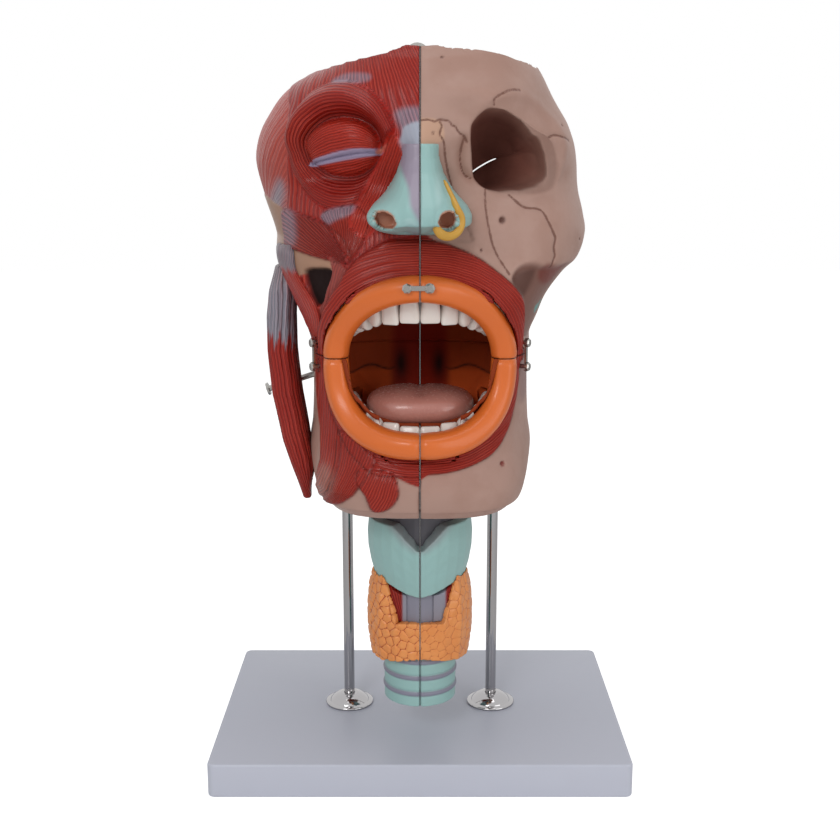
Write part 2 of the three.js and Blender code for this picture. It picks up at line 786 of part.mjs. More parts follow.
// Fasteners and hooks
const hookStack = hookThick + 2 * fitGap;
const screwHole = screwRadius + fitGap;
const foreheadLevel = headTop - foreheadDrop;
const foreheadPlate = headShape(LEFT, foreheadLevel).depth - wall - foreheadStand;
const lipHookLevel = seamHeight + lipHalfHeight - lipHookDrop;
const lipPlate = lipFront + lipDepthRadius + hookProud;
const chinPlate = headShape(LEFT, headBottom).depth - chinInset;

// The hook at a mouth corner, on the surface of the cheek beside the seam.
function cheekHook(side, word) {
  const { width, depth, roundness } = headShape(side, seamHeight);
  const face = point(side * Math.cos(cheekTurn), -Math.sin(cheekTurn), 0);
  const x = width * Math.sin(cheekAround) ** (2 / roundness);
  const y = -depth * Math.cos(cheekAround) ** (2 / roundness);
  const place = (z) => point(side * x, y, z).addScaledVector(face, cheekProud);
  return {
    pivot: place(seamHeight + hookHalfSpan), stud: place(seamHeight - hookHalfSpan), face,
    swing: point(side * Math.sin(cheekTurn), Math.cos(cheekTurn), 0),
    pivotOn: `upper_${word}`, studOn: `lower_${word}`,
  };
}

const hookPlaces = {
  forehead_hook: {
    pivot: point(-hookHalfSpan, -foreheadPlate, foreheadLevel),
    stud: point(hookHalfSpan, -foreheadPlate, foreheadLevel),
    face: point(0, 1, 0), swing: point(0, 0, 1), pivotOn: 'upper_right', studOn: 'upper_left', arched: true,
  },
  lip_hook: {
    pivot: point(-hookHalfSpan, -lipPlate, lipHookLevel), stud: point(hookStudX, -lipPlate, lipHookLevel),
    face: point(0, -1, 0), swing: point(0, 0, 1), pivotOn: 'lip_right', studOn: 'lip_left',
  },
  chin_hook: {
    pivot: point(-hookHalfSpan, -chinPlate, headBottom), stud: point(hookStudX, -chinPlate, headBottom),
    face: point(0, 0, -1), swing: point(0, -1, 0), pivotOn: 'lower_right', studOn: 'lower_left',
  },
  right_corner_hook: cheekHook(RIGHT, 'right'),
  left_corner_hook: cheekHook(LEFT, 'left'),
};

function screwGeometry(headRadius) {
  const profile = [
    [0, -screwReach], [screwRadius, -screwReach], [screwRadius, hookStack], [headRadius, hookStack],
    [headRadius, hookStack + screwHeadHeight * 0.55], [headRadius * 0.7, hookStack + screwHeadHeight],
    [0, hookStack + screwHeadHeight],
  ];
  return closed(new THREE.LatheGeometry(profile.map(([r, z]) => new THREE.Vector2(r, z)), screwSides));
}

// A flat hook: an eye round its screw, a bar and a claw that drops over the stud.
function hookForm({ pivot, stud, face, swing, arched }) {
  const length = pivot.distanceTo(stud);
  const disc = (x, radius, thick = hookThick) => {
    const round = new THREE.CylinderGeometry(radius, radius, thick, smallSides);
    return solid(round.rotateX(Math.PI / 2).translate(x, 0, 0));
  };
  const plate = (x0, x1, y0, y1, thick = hookThick) => block(x0, x1, y0, y1, -thick / 2, thick / 2);
  let form = disc(0, hookEye).add(disc(length, hookClaw));
  if (arched) {
    const span = length - hookClaw;
    const outline = new THREE.Shape().absarc(span / 2, 0, (span + hookBar) / 2, 0, Math.PI, false);
    outline.absarc(span / 2, 0, (span - hookBar) / 2, Math.PI, 0, true);
    const arch = new THREE.ExtrudeGeometry(outline, { depth: hookThick, bevelEnabled: false, curveSegments: 6 });
    form = form.add(solid(arch.translate(0, 0, -hookThick / 2)));
  } else {
    form = form.add(plate(0, length, -hookBar / 2, hookBar / 2));
  }
  const slot = disc(length, screwHole, 2 * hookThick)
    .add(plate(length - screwHole, length + screwHole, -2 * hookClaw, 0, 2 * hookThick));
  form = form.subtract(disc(0, screwHole, 2 * hookThick)).subtract(slot);
  const across = stud.clone().sub(pivot).normalize();
  const basis = new THREE.Matrix4().makeBasis(across, swing, across.clone().cross(swing));
  basis.setPosition(pivot.clone().addScaledVector(face, hookStack / 2));
  return geometryOf(mainBody(form)).applyMatrix4(basis);
}

// Holes and bosses for the fasteners that a piece carries, in the half with X from 0 outwards.
function fastenersOn(name) {
  return Object.values(hookPlaces).flatMap((hook) => [
    hook.pivotOn === name ? [{ at: hook.pivot, face: hook.face }] : [],
    hook.studOn === name ? [{ at: hook.stud, face: hook.face }] : [],
  ]).flat().map(({ at, face }) => ({
    at: point(Math.abs(at.x), at.y, at.z), face: point(Math.abs(face.x), face.y, face.z),
  }));
}

function drilled(form, name) {
  return fastenersOn(name).reduce((left, { at, face }) => left.subtract(
    bar(at.clone().addScaledVector(face, -screwReach - fitGap), at.clone().addScaledVector(face, overrun), screwHole)),
  form);
}

// A boss behind a fastener; one that faces the rear stands on the inside of the wall.
function bossed(form, name, outer) {
  return fastenersOn(name).filter(({ face }) => face.z === 0).reduce((sum, { at, face }) => {
    const inside = face.y > 0;
    const boss = bar(at.clone().addScaledVector(face, inside ? -foreheadStand - wall : -bossLength), at, bossRadius);
    return sum.add(inside ? boss.intersect(outer) : boss);
  }, form);
}

const spoolAxis = point(-1, 0, -spoolDropShare).normalize();
const spoolLevel = seamHeight - spoolDrop;
const spoolFoot = point(-headShape(RIGHT, spoolLevel).width + spoolSeat, -spoolFront, spoolLevel);

function spoolGeometry() {
  const [a, b, c] = [spoolReach - spoolGrip - 2 * spoolDisc, spoolReach - spoolGrip - spoolDisc, spoolReach - spoolDisc];
  const profile = [
    [0, 0], [spoolNeck, 0], [spoolNeck, a], [spoolRadius, a], [spoolRadius, b], [spoolNeck, b], [spoolNeck, c],
    [spoolRadius, c], [spoolRadius, spoolReach], [0, spoolReach],
  ];
  return closed(new THREE.LatheGeometry(profile.map(([r, z]) => new THREE.Vector2(r, z)), smallSides));
}

// The lining of the mouth in one quarter, with the ridge that its tooth row stands in.
function liningForm(upper, forms) {
  const body = mouthForm(mouthWall).add(toothRoom(upper, ridgeWall, ridgeEnd)).intersect(forms.outer);
  const cuts = mouthForm(0).add(lipForm(upper, fitGap)).add(toothRoom(upper, 2 * fitGap, roomEnd));
  return body.intersect(quarter(upper)).subtract(cuts);
}

// One quarter of the head: the moulded shell with its rod column, bosses and the seats of what it carries.
function shellForm(side, upper, forms) {
  const name = `${upper ? 'upper' : 'lower'}_${side === LEFT ? 'left' : 'right'}`;
  const columnLow = upper ? seamHeight : headBottom;
  const columnHigh = upper ? seamHeight + socketRise : seamHeight;
  const column = bar(point(rodX, 0, columnLow - (upper ? overrun : 0)), point(rodX, 0, columnHigh), columnRadius, roundSides);
  const ribReach = headShape(side, seamHeight).width - wall / 2;
  const rib = block(rodX, ribReach, -ribThick / 2, ribThick / 2, columnLow - overrun, columnHigh);
  const seat = mouthForm(mouthWall + fitGap).add(toothRoom(upper, ridgeWall + fitGap, seatEnd));
  let shell = forms.outer.subtract(forms.hollow).add(column).add(rib.intersect(forms.outer));
  if (upper && side === LEFT) shell = shell.add(orbitForm(orbitWall).intersect(forms.outer));
  shell = bossed(shell, name, forms.outer).intersect(quarter(upper));
  shell = shell.subtract(seat).subtract(lipForm(upper, fitGap));
  if (upper && side === LEFT) shell = shell.subtract(orbitForm(0)).subtract(orbitSlit());
  if (upper) {
    const socket = bar(point(rodX, 0, 0), point(rodX, 0, seamHeight + pegHeight + fitGap), pegRadius + fitGap, roundSides);
    shell = shell.subtract(socket);
  } else {
    const peg = bar(point(rodX, 0, seamHeight - pegHeight), point(rodX, 0, seamHeight + pegHeight), pegRadius, roundSides);
    const bore = bar(point(rodX, 0, 0), point(rodX, 0, rodTop + fitGap), rodRadius + fitGap, roundSides);
    shell = shell.add(peg).subtract(bore);
  }
  shell = drilled(shell, name);
  if (side === RIGHT && !upper) {
    const foot = point(-spoolFoot.x, spoolFoot.y, spoolFoot.z);
    const way = point(-spoolAxis.x, spoolAxis.y, spoolAxis.z);
    const start = foot.clone().addScaledVector(way, -2 * fitGap);
    shell = shell.subtract(bar(start, foot.clone().addScaledVector(way, spoolReach), spoolNeck + fitGap));
  }
  return mainBody(shell);
}

// Stand pieces
function boardGeometry() {
  const [w, d, r] = [boardWidth / 2 - boardEdge, boardDepth / 2 - boardEdge, boardCorner - boardEdge];
  const outline = new THREE.Shape();
  outline.moveTo(-w + r, -d).lineTo(w - r, -d).absarc(w - r, -d + r, r, -Math.PI / 2, 0, false);
  outline.absarc(w - r, d - r, r, 0, Math.PI / 2, false).absarc(-w + r, d - r, r, Math.PI / 2, Math.PI, false);
  outline.absarc(-w + r, -d + r, r, Math.PI, 1.5 * Math.PI, false);
  const slab = new THREE.ExtrudeGeometry(outline, {
    depth: boardThick - 2 * boardEdge, bevelThickness: boardEdge, bevelSize: boardEdge, bevelSegments: 1, curveSegments: 2,
  });
  let board = solid(slab.translate(0, 0, boardEdge));
  for (const x of [-rodX, rodX]) {
    const hole = (low, high, radius) => bar(point(x, 0, low), point(x, 0, high), radius, roundSides);
    board = board.subtract(hole(boardThick - rodSeat, boardThick + overrun, rodRadius + fitGap));
    board = board.subtract(hole(0, boardThick, boltDiameter / 2 + fitGap));
    board = board.subtract(hole(-overrun, counterboreDepth, counterboreDiameter / 2));
  }
  return geometryOf(board);
}

function rodGeometry() {
  const low = boardThick - rodSeat + fitGap;
  const profile = [
    [boltDiameter / 2 + fitGap, low], [rodRadius, low], [rodRadius, rodTop - rodChamfer], [rodRadius - rodChamfer, rodTop], [0, rodTop],
    [0, low + boltReach], [boltDiameter / 2 + fitGap, low + boltReach],
  ];
  profile.push(profile[0]);
  return closed(new THREE.LatheGeometry(profile.map(([r, z]) => new THREE.Vector2(r, z)), roundSides));
}

function flangeGeometry() {
  const [bore, rim] = [rodRadius + fitGap, flangeDiameter / 2];
  const low = boardThick + fitGap / 3;
  const dome = Array.from({ length: 5 }, (_, i) => {
    const t = (i / 4) * (Math.PI / 2);
    return [flangeHub + (rim - flangeEdge - flangeHub) * Math.cos(t), low + flangeRim + (flangeHeight - flangeRim) * Math.sin(t) ** 1.5];
  });
  const profile = [[bore, low], [rim, low], [rim, low + flangeRim], ...dome, [bore, low + flangeHeight], [bore, low]];
  return closed(new THREE.LatheGeometry(profile.map(([r, z]) => new THREE.Vector2(r, z)), roundSides));
}

function boltGeometry() {
  const seat = counterboreDepth - fitGap - washerThick - fitGap;
  const profile = [
    [0, seat - boltHeadHeight], [boltHead / 2, seat - boltHeadHeight], [boltHead / 2, seat], [boltDiameter / 2, seat],
    [boltDiameter / 2, boardThick - rodSeat + boltReach], [0, boardThick - rodSeat + boltReach],
  ];
  return closed(new THREE.LatheGeometry(profile.map(([r, z]) => new THREE.Vector2(r, z)), smallSides));
}

function washerGeometry() {
  const [low, high] = [counterboreDepth - fitGap - washerThick, counterboreDepth - fitGap];
  const [inner, outer] = [boltDiameter / 2 + fitGap, washerDiameter / 2];
  const profile = [[inner, low], [outer, low], [outer, high], [inner, high], [inner, low]];
  return closed(new THREE.LatheGeometry(profile.map(([r, z]) => new THREE.Vector2(r, z)), roundSides));
}

function tongueForm() {
  const body = new THREE.SphereGeometry(1, 12, 9);
  const at = body.getAttribute('position');
  for (let i = 0; i < at.count; i++) {
    const [x, y, z] = [at.getX(i) * tongueHalfWidth, at.getZ(i) * tongueHalfLength, at.getY(i) * tongueHalfHeight];
    const groove = grooveDepth * Math.exp(-((x / grooveHalfWidth) ** 2)) * Math.max(0, at.getY(i));
    at.setXYZ(i, x, -tongueCentre + y, tongueLevel + z - groove);
  }
  const sweep = bar(point(rodX, 0, seamHeight - overrun * 4), point(rodX, 0, seamHeight), tongueClear, 36);
  const root = block(rootHalfWidth - rootLength / 2, rootHalfWidth + rootLength / 2, -tongueCentre - rootLength,
    -tongueCentre + rootLength, seamHeight - 2 * lipHalfHeight, tongueLevel);
  const rearSweep = bar(point(-rodX, 0, seamHeight - overrun * 4), point(-rodX, 0, seamHeight), tongueRearClear, 36);
  const reach = tongueHalfWidth + tongueHalfLength;
  const rightRoom = block(-reach, 0, -tongueCentre - reach, reach, 0, headTop).intersect(mouthForm(-tongueLift));
  const leftRoom = block(0, reach, -tongueCentre - reach, reach, 0, headTop).intersect(mouthForm(-fitGap));
  return solid(body).intersect(sweep).subtract(rearSweep).add(root).intersect(rightRoom.add(leftRoom));
}

// Assembly
const model = new THREE.Group();
const sections = {};
for (const name of ['stand', 'lower_right', 'lower_left', 'upper_right', 'upper_left']) {
  sections[name] = new THREE.Group();
  model.add(sections[name]);
}

function add(section, name, geometry, finish) {
  const [color, roughness, metalness] = finishes[finish];
  const mesh = new THREE.Mesh(geometry, new THREE.MeshStandardMaterial({ color, roughness, metalness }));
  mesh.name = name;
  sections[section].add(mesh);
  return mesh;
}

// Adds a form of the half with X from 0 outwards, turned to its own side.
function addForm(section, name, form, finish) {
  const geometry = geometryOf(mainBody(form));
  const mirrored = section.endsWith('right') ? geometry.scale(-1, 1, 1) : geometry;
  add(section, name, closed(mirrored), finish);
}

add('stand', 'base_board', boardGeometry(), 'board');
for (const [side, x] of [['right', -rodX], ['left', rodX]]) {
  for (const [piece, geometry, finish] of [
    ['rod', rodGeometry(), 'chrome'], ['rod_flange', flangeGeometry(), 'chrome'],
    ['rod_bolt', boltGeometry(), 'steel'], ['rod_washer', washerGeometry(), 'steel'],
  ]) {
    const mesh = add('stand', `${side}_${piece}`, geometry, finish);
    mesh.rotation.x = Math.PI / 2;
    mesh.position.x = x;
  }
}

for (const [side, word] of [[RIGHT, 'right'], [LEFT, 'left']]) {
  const [upperName, lowerName] = [`upper_${word}`, `lower_${word}`];
  const forms = { outer: halfForm(side, 0), hollow: hollowForm(side) };
  const seat = halfForm(side, cutGap);
  addForm(upperName, `upper_${word}_shell`, shellForm(side, true, forms), side === LEFT ? 'bone' : 'muscle');
  addForm(lowerName, `lower_${word}_shell`, shellForm(side, false, forms), side === LEFT ? 'bone' : 'muscle');
  addForm(upperName, `upper_${word}_lining`, liningForm(true, forms), 'lining');
  addForm(lowerName, `lower_${word}_lining`, liningForm(false, forms), 'lining');
  addForm(upperName, `upper_${word}_lip`, drilled(lipForm(true, 0).subtract(gumForm(true, cutGap)).intersect(quarter(true)), `lip_${word}`), 'lip');
  addForm(lowerName, `lower_${word}_lip`, lipForm(false, 0).subtract(gumForm(false, cutGap)).intersect(quarter(false)), 'lip');
  addForm(upperName, `upper_${word}_teeth`, teethForm(true).intersect(quarter(true)), 'tooth');
  addForm(lowerName, `lower_${word}_teeth`, teethForm(false).intersect(quarter(false)), 'tooth');
  const nose = noseForm(0).subtract(seat).subtract(nostril()).intersect(quarter(true));
  addForm(upperName, `${word}_nasal_cartilage`, nose, 'cartilage');
  const airway = airwayForm(0);
  const membrane = membraneForm(0).subtract(airwayForm(fitGap));
  const cricoid = cricoidForm(0).subtract(airwayForm(fitGap));
  const muscle = cricothyroidForm(0).subtract(airwayForm(fitGap)).subtract(cricoidForm(fitGap));
  const inside = airwayForm(fitGap).add(cricoidForm(fitGap)).add(cricothyroidForm(fitGap));
  const thyroid = thyroidCartilageForm(0).subtract(inside).subtract(membraneForm(fitGap));
  const gland = glandForm().subtract(inside).subtract(thyroidCartilageForm(fitGap));
  for (const [name, form, finish] of [
    ['trachea', airway, 'cartilage'], ['thyroid_membrane', membrane, 'cricoid'], ['cricoid', cricoid, 'cricoid'],
    ['cricothyroid_muscle', muscle, 'muscle'], ['thyroid_cartilage', thyroid, 'cartilage'], ['thyroid_gland', gland, 'gland'],
  ]) addForm(lowerName, `${word}_${name}`, form.intersect(quarter(false)), finish);
  if (side === LEFT) {
    addForm(upperName, 'left_alar_ring', alarRing(0).subtract(noseForm(fitGap)).subtract(seat).intersect(quarter(true)), 'ring');
    const tongue = geometryOf(mainBody(tongueForm()));
    add(lowerName, 'tongue', tongue, 'tongue');
  } else {
    addForm(upperName, 'right_masseter', masseterForm().subtract(seat), 'muscle');
    addForm(upperName, 'right_zygomatic_muscle', strapForm().subtract(seat).subtract(lipForm(true, fitGap)).intersect(quarter(true)), 'muscle');
  }
}

const spool = add('lower_right', 'right_spool_stud', spoolGeometry(), 'steel');
spool.position.copy(spoolFoot);
spool.quaternion.setFromUnitVectors(axisY, spoolAxis);

for (const [name, hook] of Object.entries(hookPlaces)) {
  const carrier = (on) => on.replace('lip_', 'upper_');
  add(carrier(hook.pivotOn), name, hookForm(hook), 'steel');
  for (const [end, at, on] of [['screw', hook.pivot, hook.pivotOn], ['stud', hook.stud, hook.studOn]]) {
    const mesh = add(carrier(on), name.replace('hook', end), screwGeometry(screwHead), 'steel');
    mesh.position.copy(at);
    mesh.quaternion.setFromUnitVectors(axisY, hook.face);
  }
}

export default model;
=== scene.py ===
"""The looks of an enlarged anatomical head on a two-rod stand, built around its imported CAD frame.

One half shows the muscles of the face and the other the skull. Lengths in this file are millimetres
until a mesh is written. X runs to the viewer's right, the face looks towards -Y, and Z is up.
"""

import json
import math

import bpy
import numpy as np
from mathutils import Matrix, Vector
from mathutils.bvhtree import BVHTree

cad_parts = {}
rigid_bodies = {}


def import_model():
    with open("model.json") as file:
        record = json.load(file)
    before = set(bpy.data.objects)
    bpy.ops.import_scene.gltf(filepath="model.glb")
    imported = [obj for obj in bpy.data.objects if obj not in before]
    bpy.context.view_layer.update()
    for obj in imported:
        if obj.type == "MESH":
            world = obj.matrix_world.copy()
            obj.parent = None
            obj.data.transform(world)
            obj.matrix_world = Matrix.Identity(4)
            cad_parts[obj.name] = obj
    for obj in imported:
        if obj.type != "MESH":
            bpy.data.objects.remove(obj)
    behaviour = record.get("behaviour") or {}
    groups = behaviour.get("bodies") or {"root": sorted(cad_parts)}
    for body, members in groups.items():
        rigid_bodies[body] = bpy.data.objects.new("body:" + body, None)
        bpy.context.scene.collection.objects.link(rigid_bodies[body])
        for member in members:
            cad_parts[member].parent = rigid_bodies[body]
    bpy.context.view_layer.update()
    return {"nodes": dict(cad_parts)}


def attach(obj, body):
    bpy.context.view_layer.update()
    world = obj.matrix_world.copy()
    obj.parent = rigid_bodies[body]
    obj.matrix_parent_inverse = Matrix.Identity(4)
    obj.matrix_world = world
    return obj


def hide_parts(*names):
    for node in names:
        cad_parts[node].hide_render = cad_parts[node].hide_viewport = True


bl_info = {
    "name": "Anatomical head model",
    "version": (1, 0, 0),
    "blender": (4, 5, 0),
    "location": "3D View > Sidebar > Head model",
    "description": "Builds the pieces of an enlarged anatomical head on its stand",
    "category": "Add Mesh",
}

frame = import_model()
MM = 0.001
RIGHT, LEFT = -1, 1
WORDS = {RIGHT: "right", LEFT: "left"}
QUARTERS = [(side, upper) for side in (RIGHT, LEFT) for upper in (True, False)]

# Places that the CAD frame fixes
HEAD_BOTTOM, SEAM = 207.0, 314.0
HEAD_HEIGHT, HALF_WIDTH, DEPTH = 303.0, 111.0, 125.0
CUT_X, CUT_Z = 0.5, 0.2
SEAM_X, SEAM_Z = 0.04, 0.04
LIP_WIDE, LIP_HIGH, LIP_RADIUS, LIP_DEEP, LIP_FRONT, LIP_BEND = 55.0, 50.0, 8.5, 10.0, 132.0, 30.0
UPPER_LIP_CURVE, LOWER_LIP_CURVE = 1.0, 0.74
ARCH_WIDE, ARCH_REACH, ARCH_CENTRE, ARCH_CURVE = 46.5, 58.5, 58.0, 0.87
TOOTH_DIP, DIP_CURVE = 16.0, 1.6
ORBIT = (59.7, 448.0)
ORBIT_SIZE = (30.2, 28.7)
ORBIT_RIM = [
    (31.5, 463.8), (40, 471.6), (52.9, 471.8), (62.8, 467.3), (74, 459.5), (84.5, 453.4), (90.6, 436.2), (88, 422.4),
    (76.2, 418.4), (57.5, 418.4), (41, 421.2), (32.6, 428.6), (30.8, 444.5), (30, 455.9),
]
AIRWAY_FRONT = 53.0
NOSTRIL = (19.0, 405.5)
# The slit in the wall of the eye socket: its middle and its direction
SLIT_AT, SLIT_ALONG = (43, 436), (0.866, 0.5)
# The stand: rods, board with its rounded corners and edges
ROD_X, ROD_RADIUS, ROD_FOOT, ROD_TOP = 55.0, 4.0, 13.3, 290.0
BOARD_SIZE, BOARD_ROUND, BOARD_EDGE = (300, 210, 25), 5.0, 1.6
# Bores in the board under each rod: bottom, top and radius
BORES = ((13, 30, 4.3), (-5, 26, 2.8), (-5, 8, 8.5))
# How much lower the lips lie here than in the frame, as the photograph has them
UPPER_LIP_DROP, LOWER_LIP_DROP = 2.5, 3.5
# Teeth: height of a full crown, heights of the tips, and how far the lower row rises towards the back
CROWN_HEIGHT, UPPER_TIPS, LOWER_TIPS, LOWER_RISE = 17.0, 338, 270, 13
# The groove that the lower shells have between floor and wall, drawn shut from above
GROOVE_LOW, GROOVE_HIGH = 213.05, 213.4
# How far a ray looks, the reach where it finds no skin, and the distance that stands for no line near
FAR, BARE, NO_LINE = 60, -100.0, 30.0

JAW_WIDTHS = [(0, 0.47), (0.02, 0.595), (0.045, 0.66), (0.115, 0.72), (0.18, 0.7), (0.267, 0.685), (0.36, 0.685)]
# Half widths of the head by share of its height, as shares of HALF_WIDTH
SKULL_WIDTHS = JAW_WIDTHS + [
    (0.42, 0.745), (0.469, 0.8), (0.52, 0.9), (0.558, 1.0), (0.61, 1.045), (0.653, 1.027), (0.7, 1.0),
    (0.766, 0.985), (0.815, 0.965), (0.865, 0.928), (0.924, 0.83), (0.974, 0.72), (1, 0.61),
]
MUSCLE_WIDTHS = JAW_WIDTHS + [
    (0.42, 0.73), (0.469, 0.775), (0.52, 0.84), (0.57, 0.91), (0.61, 0.915), (0.7, 1.0), (0.766, 1.04),
    (0.815, 1.02), (0.86, 0.965), (0.924, 0.83), (0.967, 0.62), (1, 0.4),
]
DEPTHS = [
    (0, 0.76), (0.02, 0.9), (0.06, 0.97), (0.115, 0.965), (0.18, 0.93), (0.267, 0.945), (0.36, 0.975),
    (0.46, 1), (0.54, 0.98), (0.63, 0.93), (0.72, 0.87), (0.77, 0.92), (0.82, 0.965), (0.9, 0.945),
    (0.97, 0.88), (1, 0.83),
]
ROUNDNESS = [(0, 2.2), (0.1, 2.6), (0.3, 3.4), (0.47, 3.3), (0.58, 2.8), (0.7, 2.6), (0.83, 2.7), (1, 2.5)]
CHIN_WIDTHS = [(0, 0.59), (0.02, 0.64), (0.045, 0.675), (0.115, 0.72), (0.18, 0.7), (1, 0.7)]
CHIN_DEPTHS = [(0, 0.925), (0.02, 0.955), (0.06, 0.975), (0.115, 0.967), (0.18, 0.93), (1, 0.93)]
CHIN_ROUNDNESS = [(0, 3.7), (0.1, 3.6), (0.2, 3.5), (1, 3.5)]
# Swellings: share of the half width, share of the height, their spreads, and the push as a share of the depth
COMMON_SWELLS = [(0, 0.765, 0.1, 0.07, 0.13), (0.1, 0.07, 0.2, 0.05, 0.03), (0.47, 0.785, 0.2, 0.06, -0.06)]
SKULL_SWELLS = [(0.42, 0.89, 0.22, 0.03, 0.035), (0.52, 0.565, 0.14, 0.045, -0.04)]
EYE_SWELL = (0.43, 0.79, 0.17, 0.05, 0.13)
MUSCLE_SWELLS = [EYE_SWELL, (0.42, 0.66, 0.25, 0.03, 0.03)]
SKULL_TRIM = (0.8, 0.88, 0.35, 0.06, -0.045)


# Mesh tools

def mode(name):
    bpy.ops.object.mode_set(mode=name)


def deselect():
    for obj in bpy.context.view_layer.objects:
        obj.select_set(False)


def only(obj):
    deselect()
    obj.select_set(True)
    bpy.context.view_layer.objects.active = obj
    return obj


def new_mesh(name, points, faces):
    """An object at the origin from points in millimetres."""
    mesh = bpy.data.meshes.new(name)
    mesh.from_pydata([tuple(p) for p in np.asarray(points) * MM], [], [tuple(f) for f in faces])
    obj = bpy.data.objects.new(name, mesh)
    bpy.context.scene.collection.objects.link(obj)
    only(obj)
    bpy.ops.object.shade_smooth()
    return obj


def points_of(obj):
    found = np.empty(len(obj.data.vertices) * 3)
    obj.data.vertices.foreach_get("co", found)
    return found.reshape(-1, 3) / MM


def place(obj, points):
    obj.data.vertices.foreach_set("co", (points * MM).ravel())
    obj.data.update()


def seen_from_front(points, side):
    """Distance from the middle, depth and height."""
    return points[:, 0] * side, points[:, 1], points[:, 2]


def round_axis(points, side):
    """X, Y and Z as seen from the front, then the Y ahead of the axis, and distance and turn round the axis."""
    x, y, z = seen_from_front(points, side)
    forward = np.minimum(y, 0)
    return x, y, z, forward, np.hypot(x, forward), np.arctan2(x, -forward + 1e-6)


def normals_of(obj):
    found = np.empty(len(obj.data.vertices) * 3, np.float32)
    obj.data.vertex_normals.foreach_get("vector", found)
    return found.reshape(-1, 3).astype(float)


def modify(obj, kind, **values):
    """Adds a modifier with these values and applies it."""
    only(obj)
    modifier = obj.modifiers.new(kind.title(), kind)
    for key, value in values.items():
        setattr(modifier, key, value)
    bpy.ops.object.modifier_apply(modifier=modifier.name)


def joined(name, pieces):
    """Joins objects into the first, under a new name."""
    only(pieces[0])
    for piece in pieces:
        piece.select_set(True)
    if len(pieces) > 1:
        bpy.ops.object.join()
    pieces[0].name = name
    pieces[0].data.name = name
    return pieces[0]


def settle(obj):
    """Puts the object's place into its mesh."""
    only(obj)
    bpy.ops.object.transform_apply(location=True, rotation=True, scale=True)
    return obj


def hit_tree(obj):
    """A tree for rays and nearest points on an object's own mesh."""
    return BVHTree.FromPolygons([v.co[:] for v in obj.data.vertices], [p.vertices[:] for p in obj.data.polygons])


def node_copy(node):
    """A merged copy of a CAD node."""
    source = frame["nodes"][node]
    obj = bpy.data.objects.new(node + "_form", source.data.copy())
    bpy.context.scene.collection.objects.link(obj)
    obj.data.materials.clear()
    for name in [a.name for a in obj.data.attributes if not a.is_required and not a.is_internal]:
        obj.data.attributes.remove(obj.data.attributes[name])
    modify(obj, "WELD", merge_threshold=MM / 200)
    return obj


def refined(node, voxel, partner=None):
    """A copy of a CAD node with an even, fine skin. A partner that lies against it is made one with it."""
    obj = node_copy(node)
    if partner:
        other = node_copy(partner)
        modify(other, "DISPLACE", strength=0.35 * MM, mid_level=0)
        obj = joined(node + "_form", [obj, other])
    modify(obj, "REMESH", mode="VOXEL", voxel_size=voxel * MM, use_smooth_shade=True)
    return obj


def face_outwards():
    """Turns all faces of the mesh that is in edit mode outwards."""
    bpy.ops.mesh.select_all(action="SELECT")
    bpy.ops.mesh.normals_make_consistent(inside=False)


def smoothed(node, voxel, times, partner=None, level=False):
    """A refined, relaxed copy of a CAD node, its points before that, and where they may move."""
    obj = refined(node, voxel, partner)
    points = points_of(obj)
    free = seam_hold(points, level)
    place(obj, points)
    relax(obj, times, free)
    return obj, points, free


def edges_of(obj):
    """The first and the second point of each edge."""
    edges = np.empty(len(obj.data.edges) * 2, np.int32)
    obj.data.edges.foreach_get("vertices", edges)
    return edges.reshape(-1, 2).T


def relax(obj, times, free=None):
    """Smooths a mesh without shrinking it. Where free is 0, a coordinate keeps its place."""
    points = points_of(obj)
    a, b = edges_of(obj)
    count = np.bincount(a, minlength=len(points)) + np.bincount(b, minlength=len(points))
    count = np.maximum(count, 1)
    for step in range(2 * times):
        rate = 0.5 if step % 2 == 0 else -0.53
        for k in range(3):
            line = points[:, k]
            total = np.bincount(a, line[b], len(points)) + np.bincount(b, line[a], len(points))
            move = rate * (total / count - line)
            points[:, k] += move if free is None else move * free[:, k]
    place(obj, points)


def seam_hold(points, level=True):
    """1 where a coordinate may move: points on the cuts through the head stay in their plane."""
    free = np.ones_like(points)
    on_side = np.abs(np.abs(points[:, 0]) - CUT_X) < 0.5
    points[on_side, 0] = np.sign(points[on_side, 0]) * SEAM_X
    free[on_side, 0] = 0
    if level:
        way = 1 if points[:, 2].max() > SEAM + 20 else -1
        on_level = np.abs(points[:, 2] - SEAM - way * CUT_Z) < 0.55
        points[on_level, 2] = SEAM + way * SEAM_Z
        free[on_level, 2] = 0
    return free


def store(obj, name, values, kind="FLOAT"):
    """Keeps one value, or one colour, for each point of a mesh."""
    layer = obj.data.attributes.new(name, kind, "POINT")
    if kind == "FLOAT":
        layer.data.foreach_set("value", np.asarray(values, np.float32))
    else:
        full = np.ones((len(values), 4), np.float32)
        full[:, :3] = values
        layer.data.foreach_set("color", full.ravel())


def loft(name, rings):
    """A closed skin through rings of points, flat over both ends."""
    rings = np.asarray(rings)
    count, sides = rings.shape[:2]
    faces = []
    for r in range(count - 1):
        for i in range(sides):
            j = (i + 1) % sides
            faces.append((r * sides + i, r * sides + j, (r + 1) * sides + j, (r + 1) * sides + i))
    points = rings.reshape(-1, 3)
    ends = [rings[0].mean(0), rings[-1].mean(0)]
    low, high = len(points), len(points) + 1
    for i in range(sides):
        j = (i + 1) % sides
        faces.append((j, i, low))
        faces.append(((count - 1) * sides + i, (count - 1) * sides + j, high))
    obj = new_mesh(name, np.vstack([points, ends]), faces)
    mode("EDIT")
    face_outwards()
    mode("OBJECT")
    return obj


def full_turn(count):
    return np.linspace(0, 2 * math.pi, count, endpoint=False)


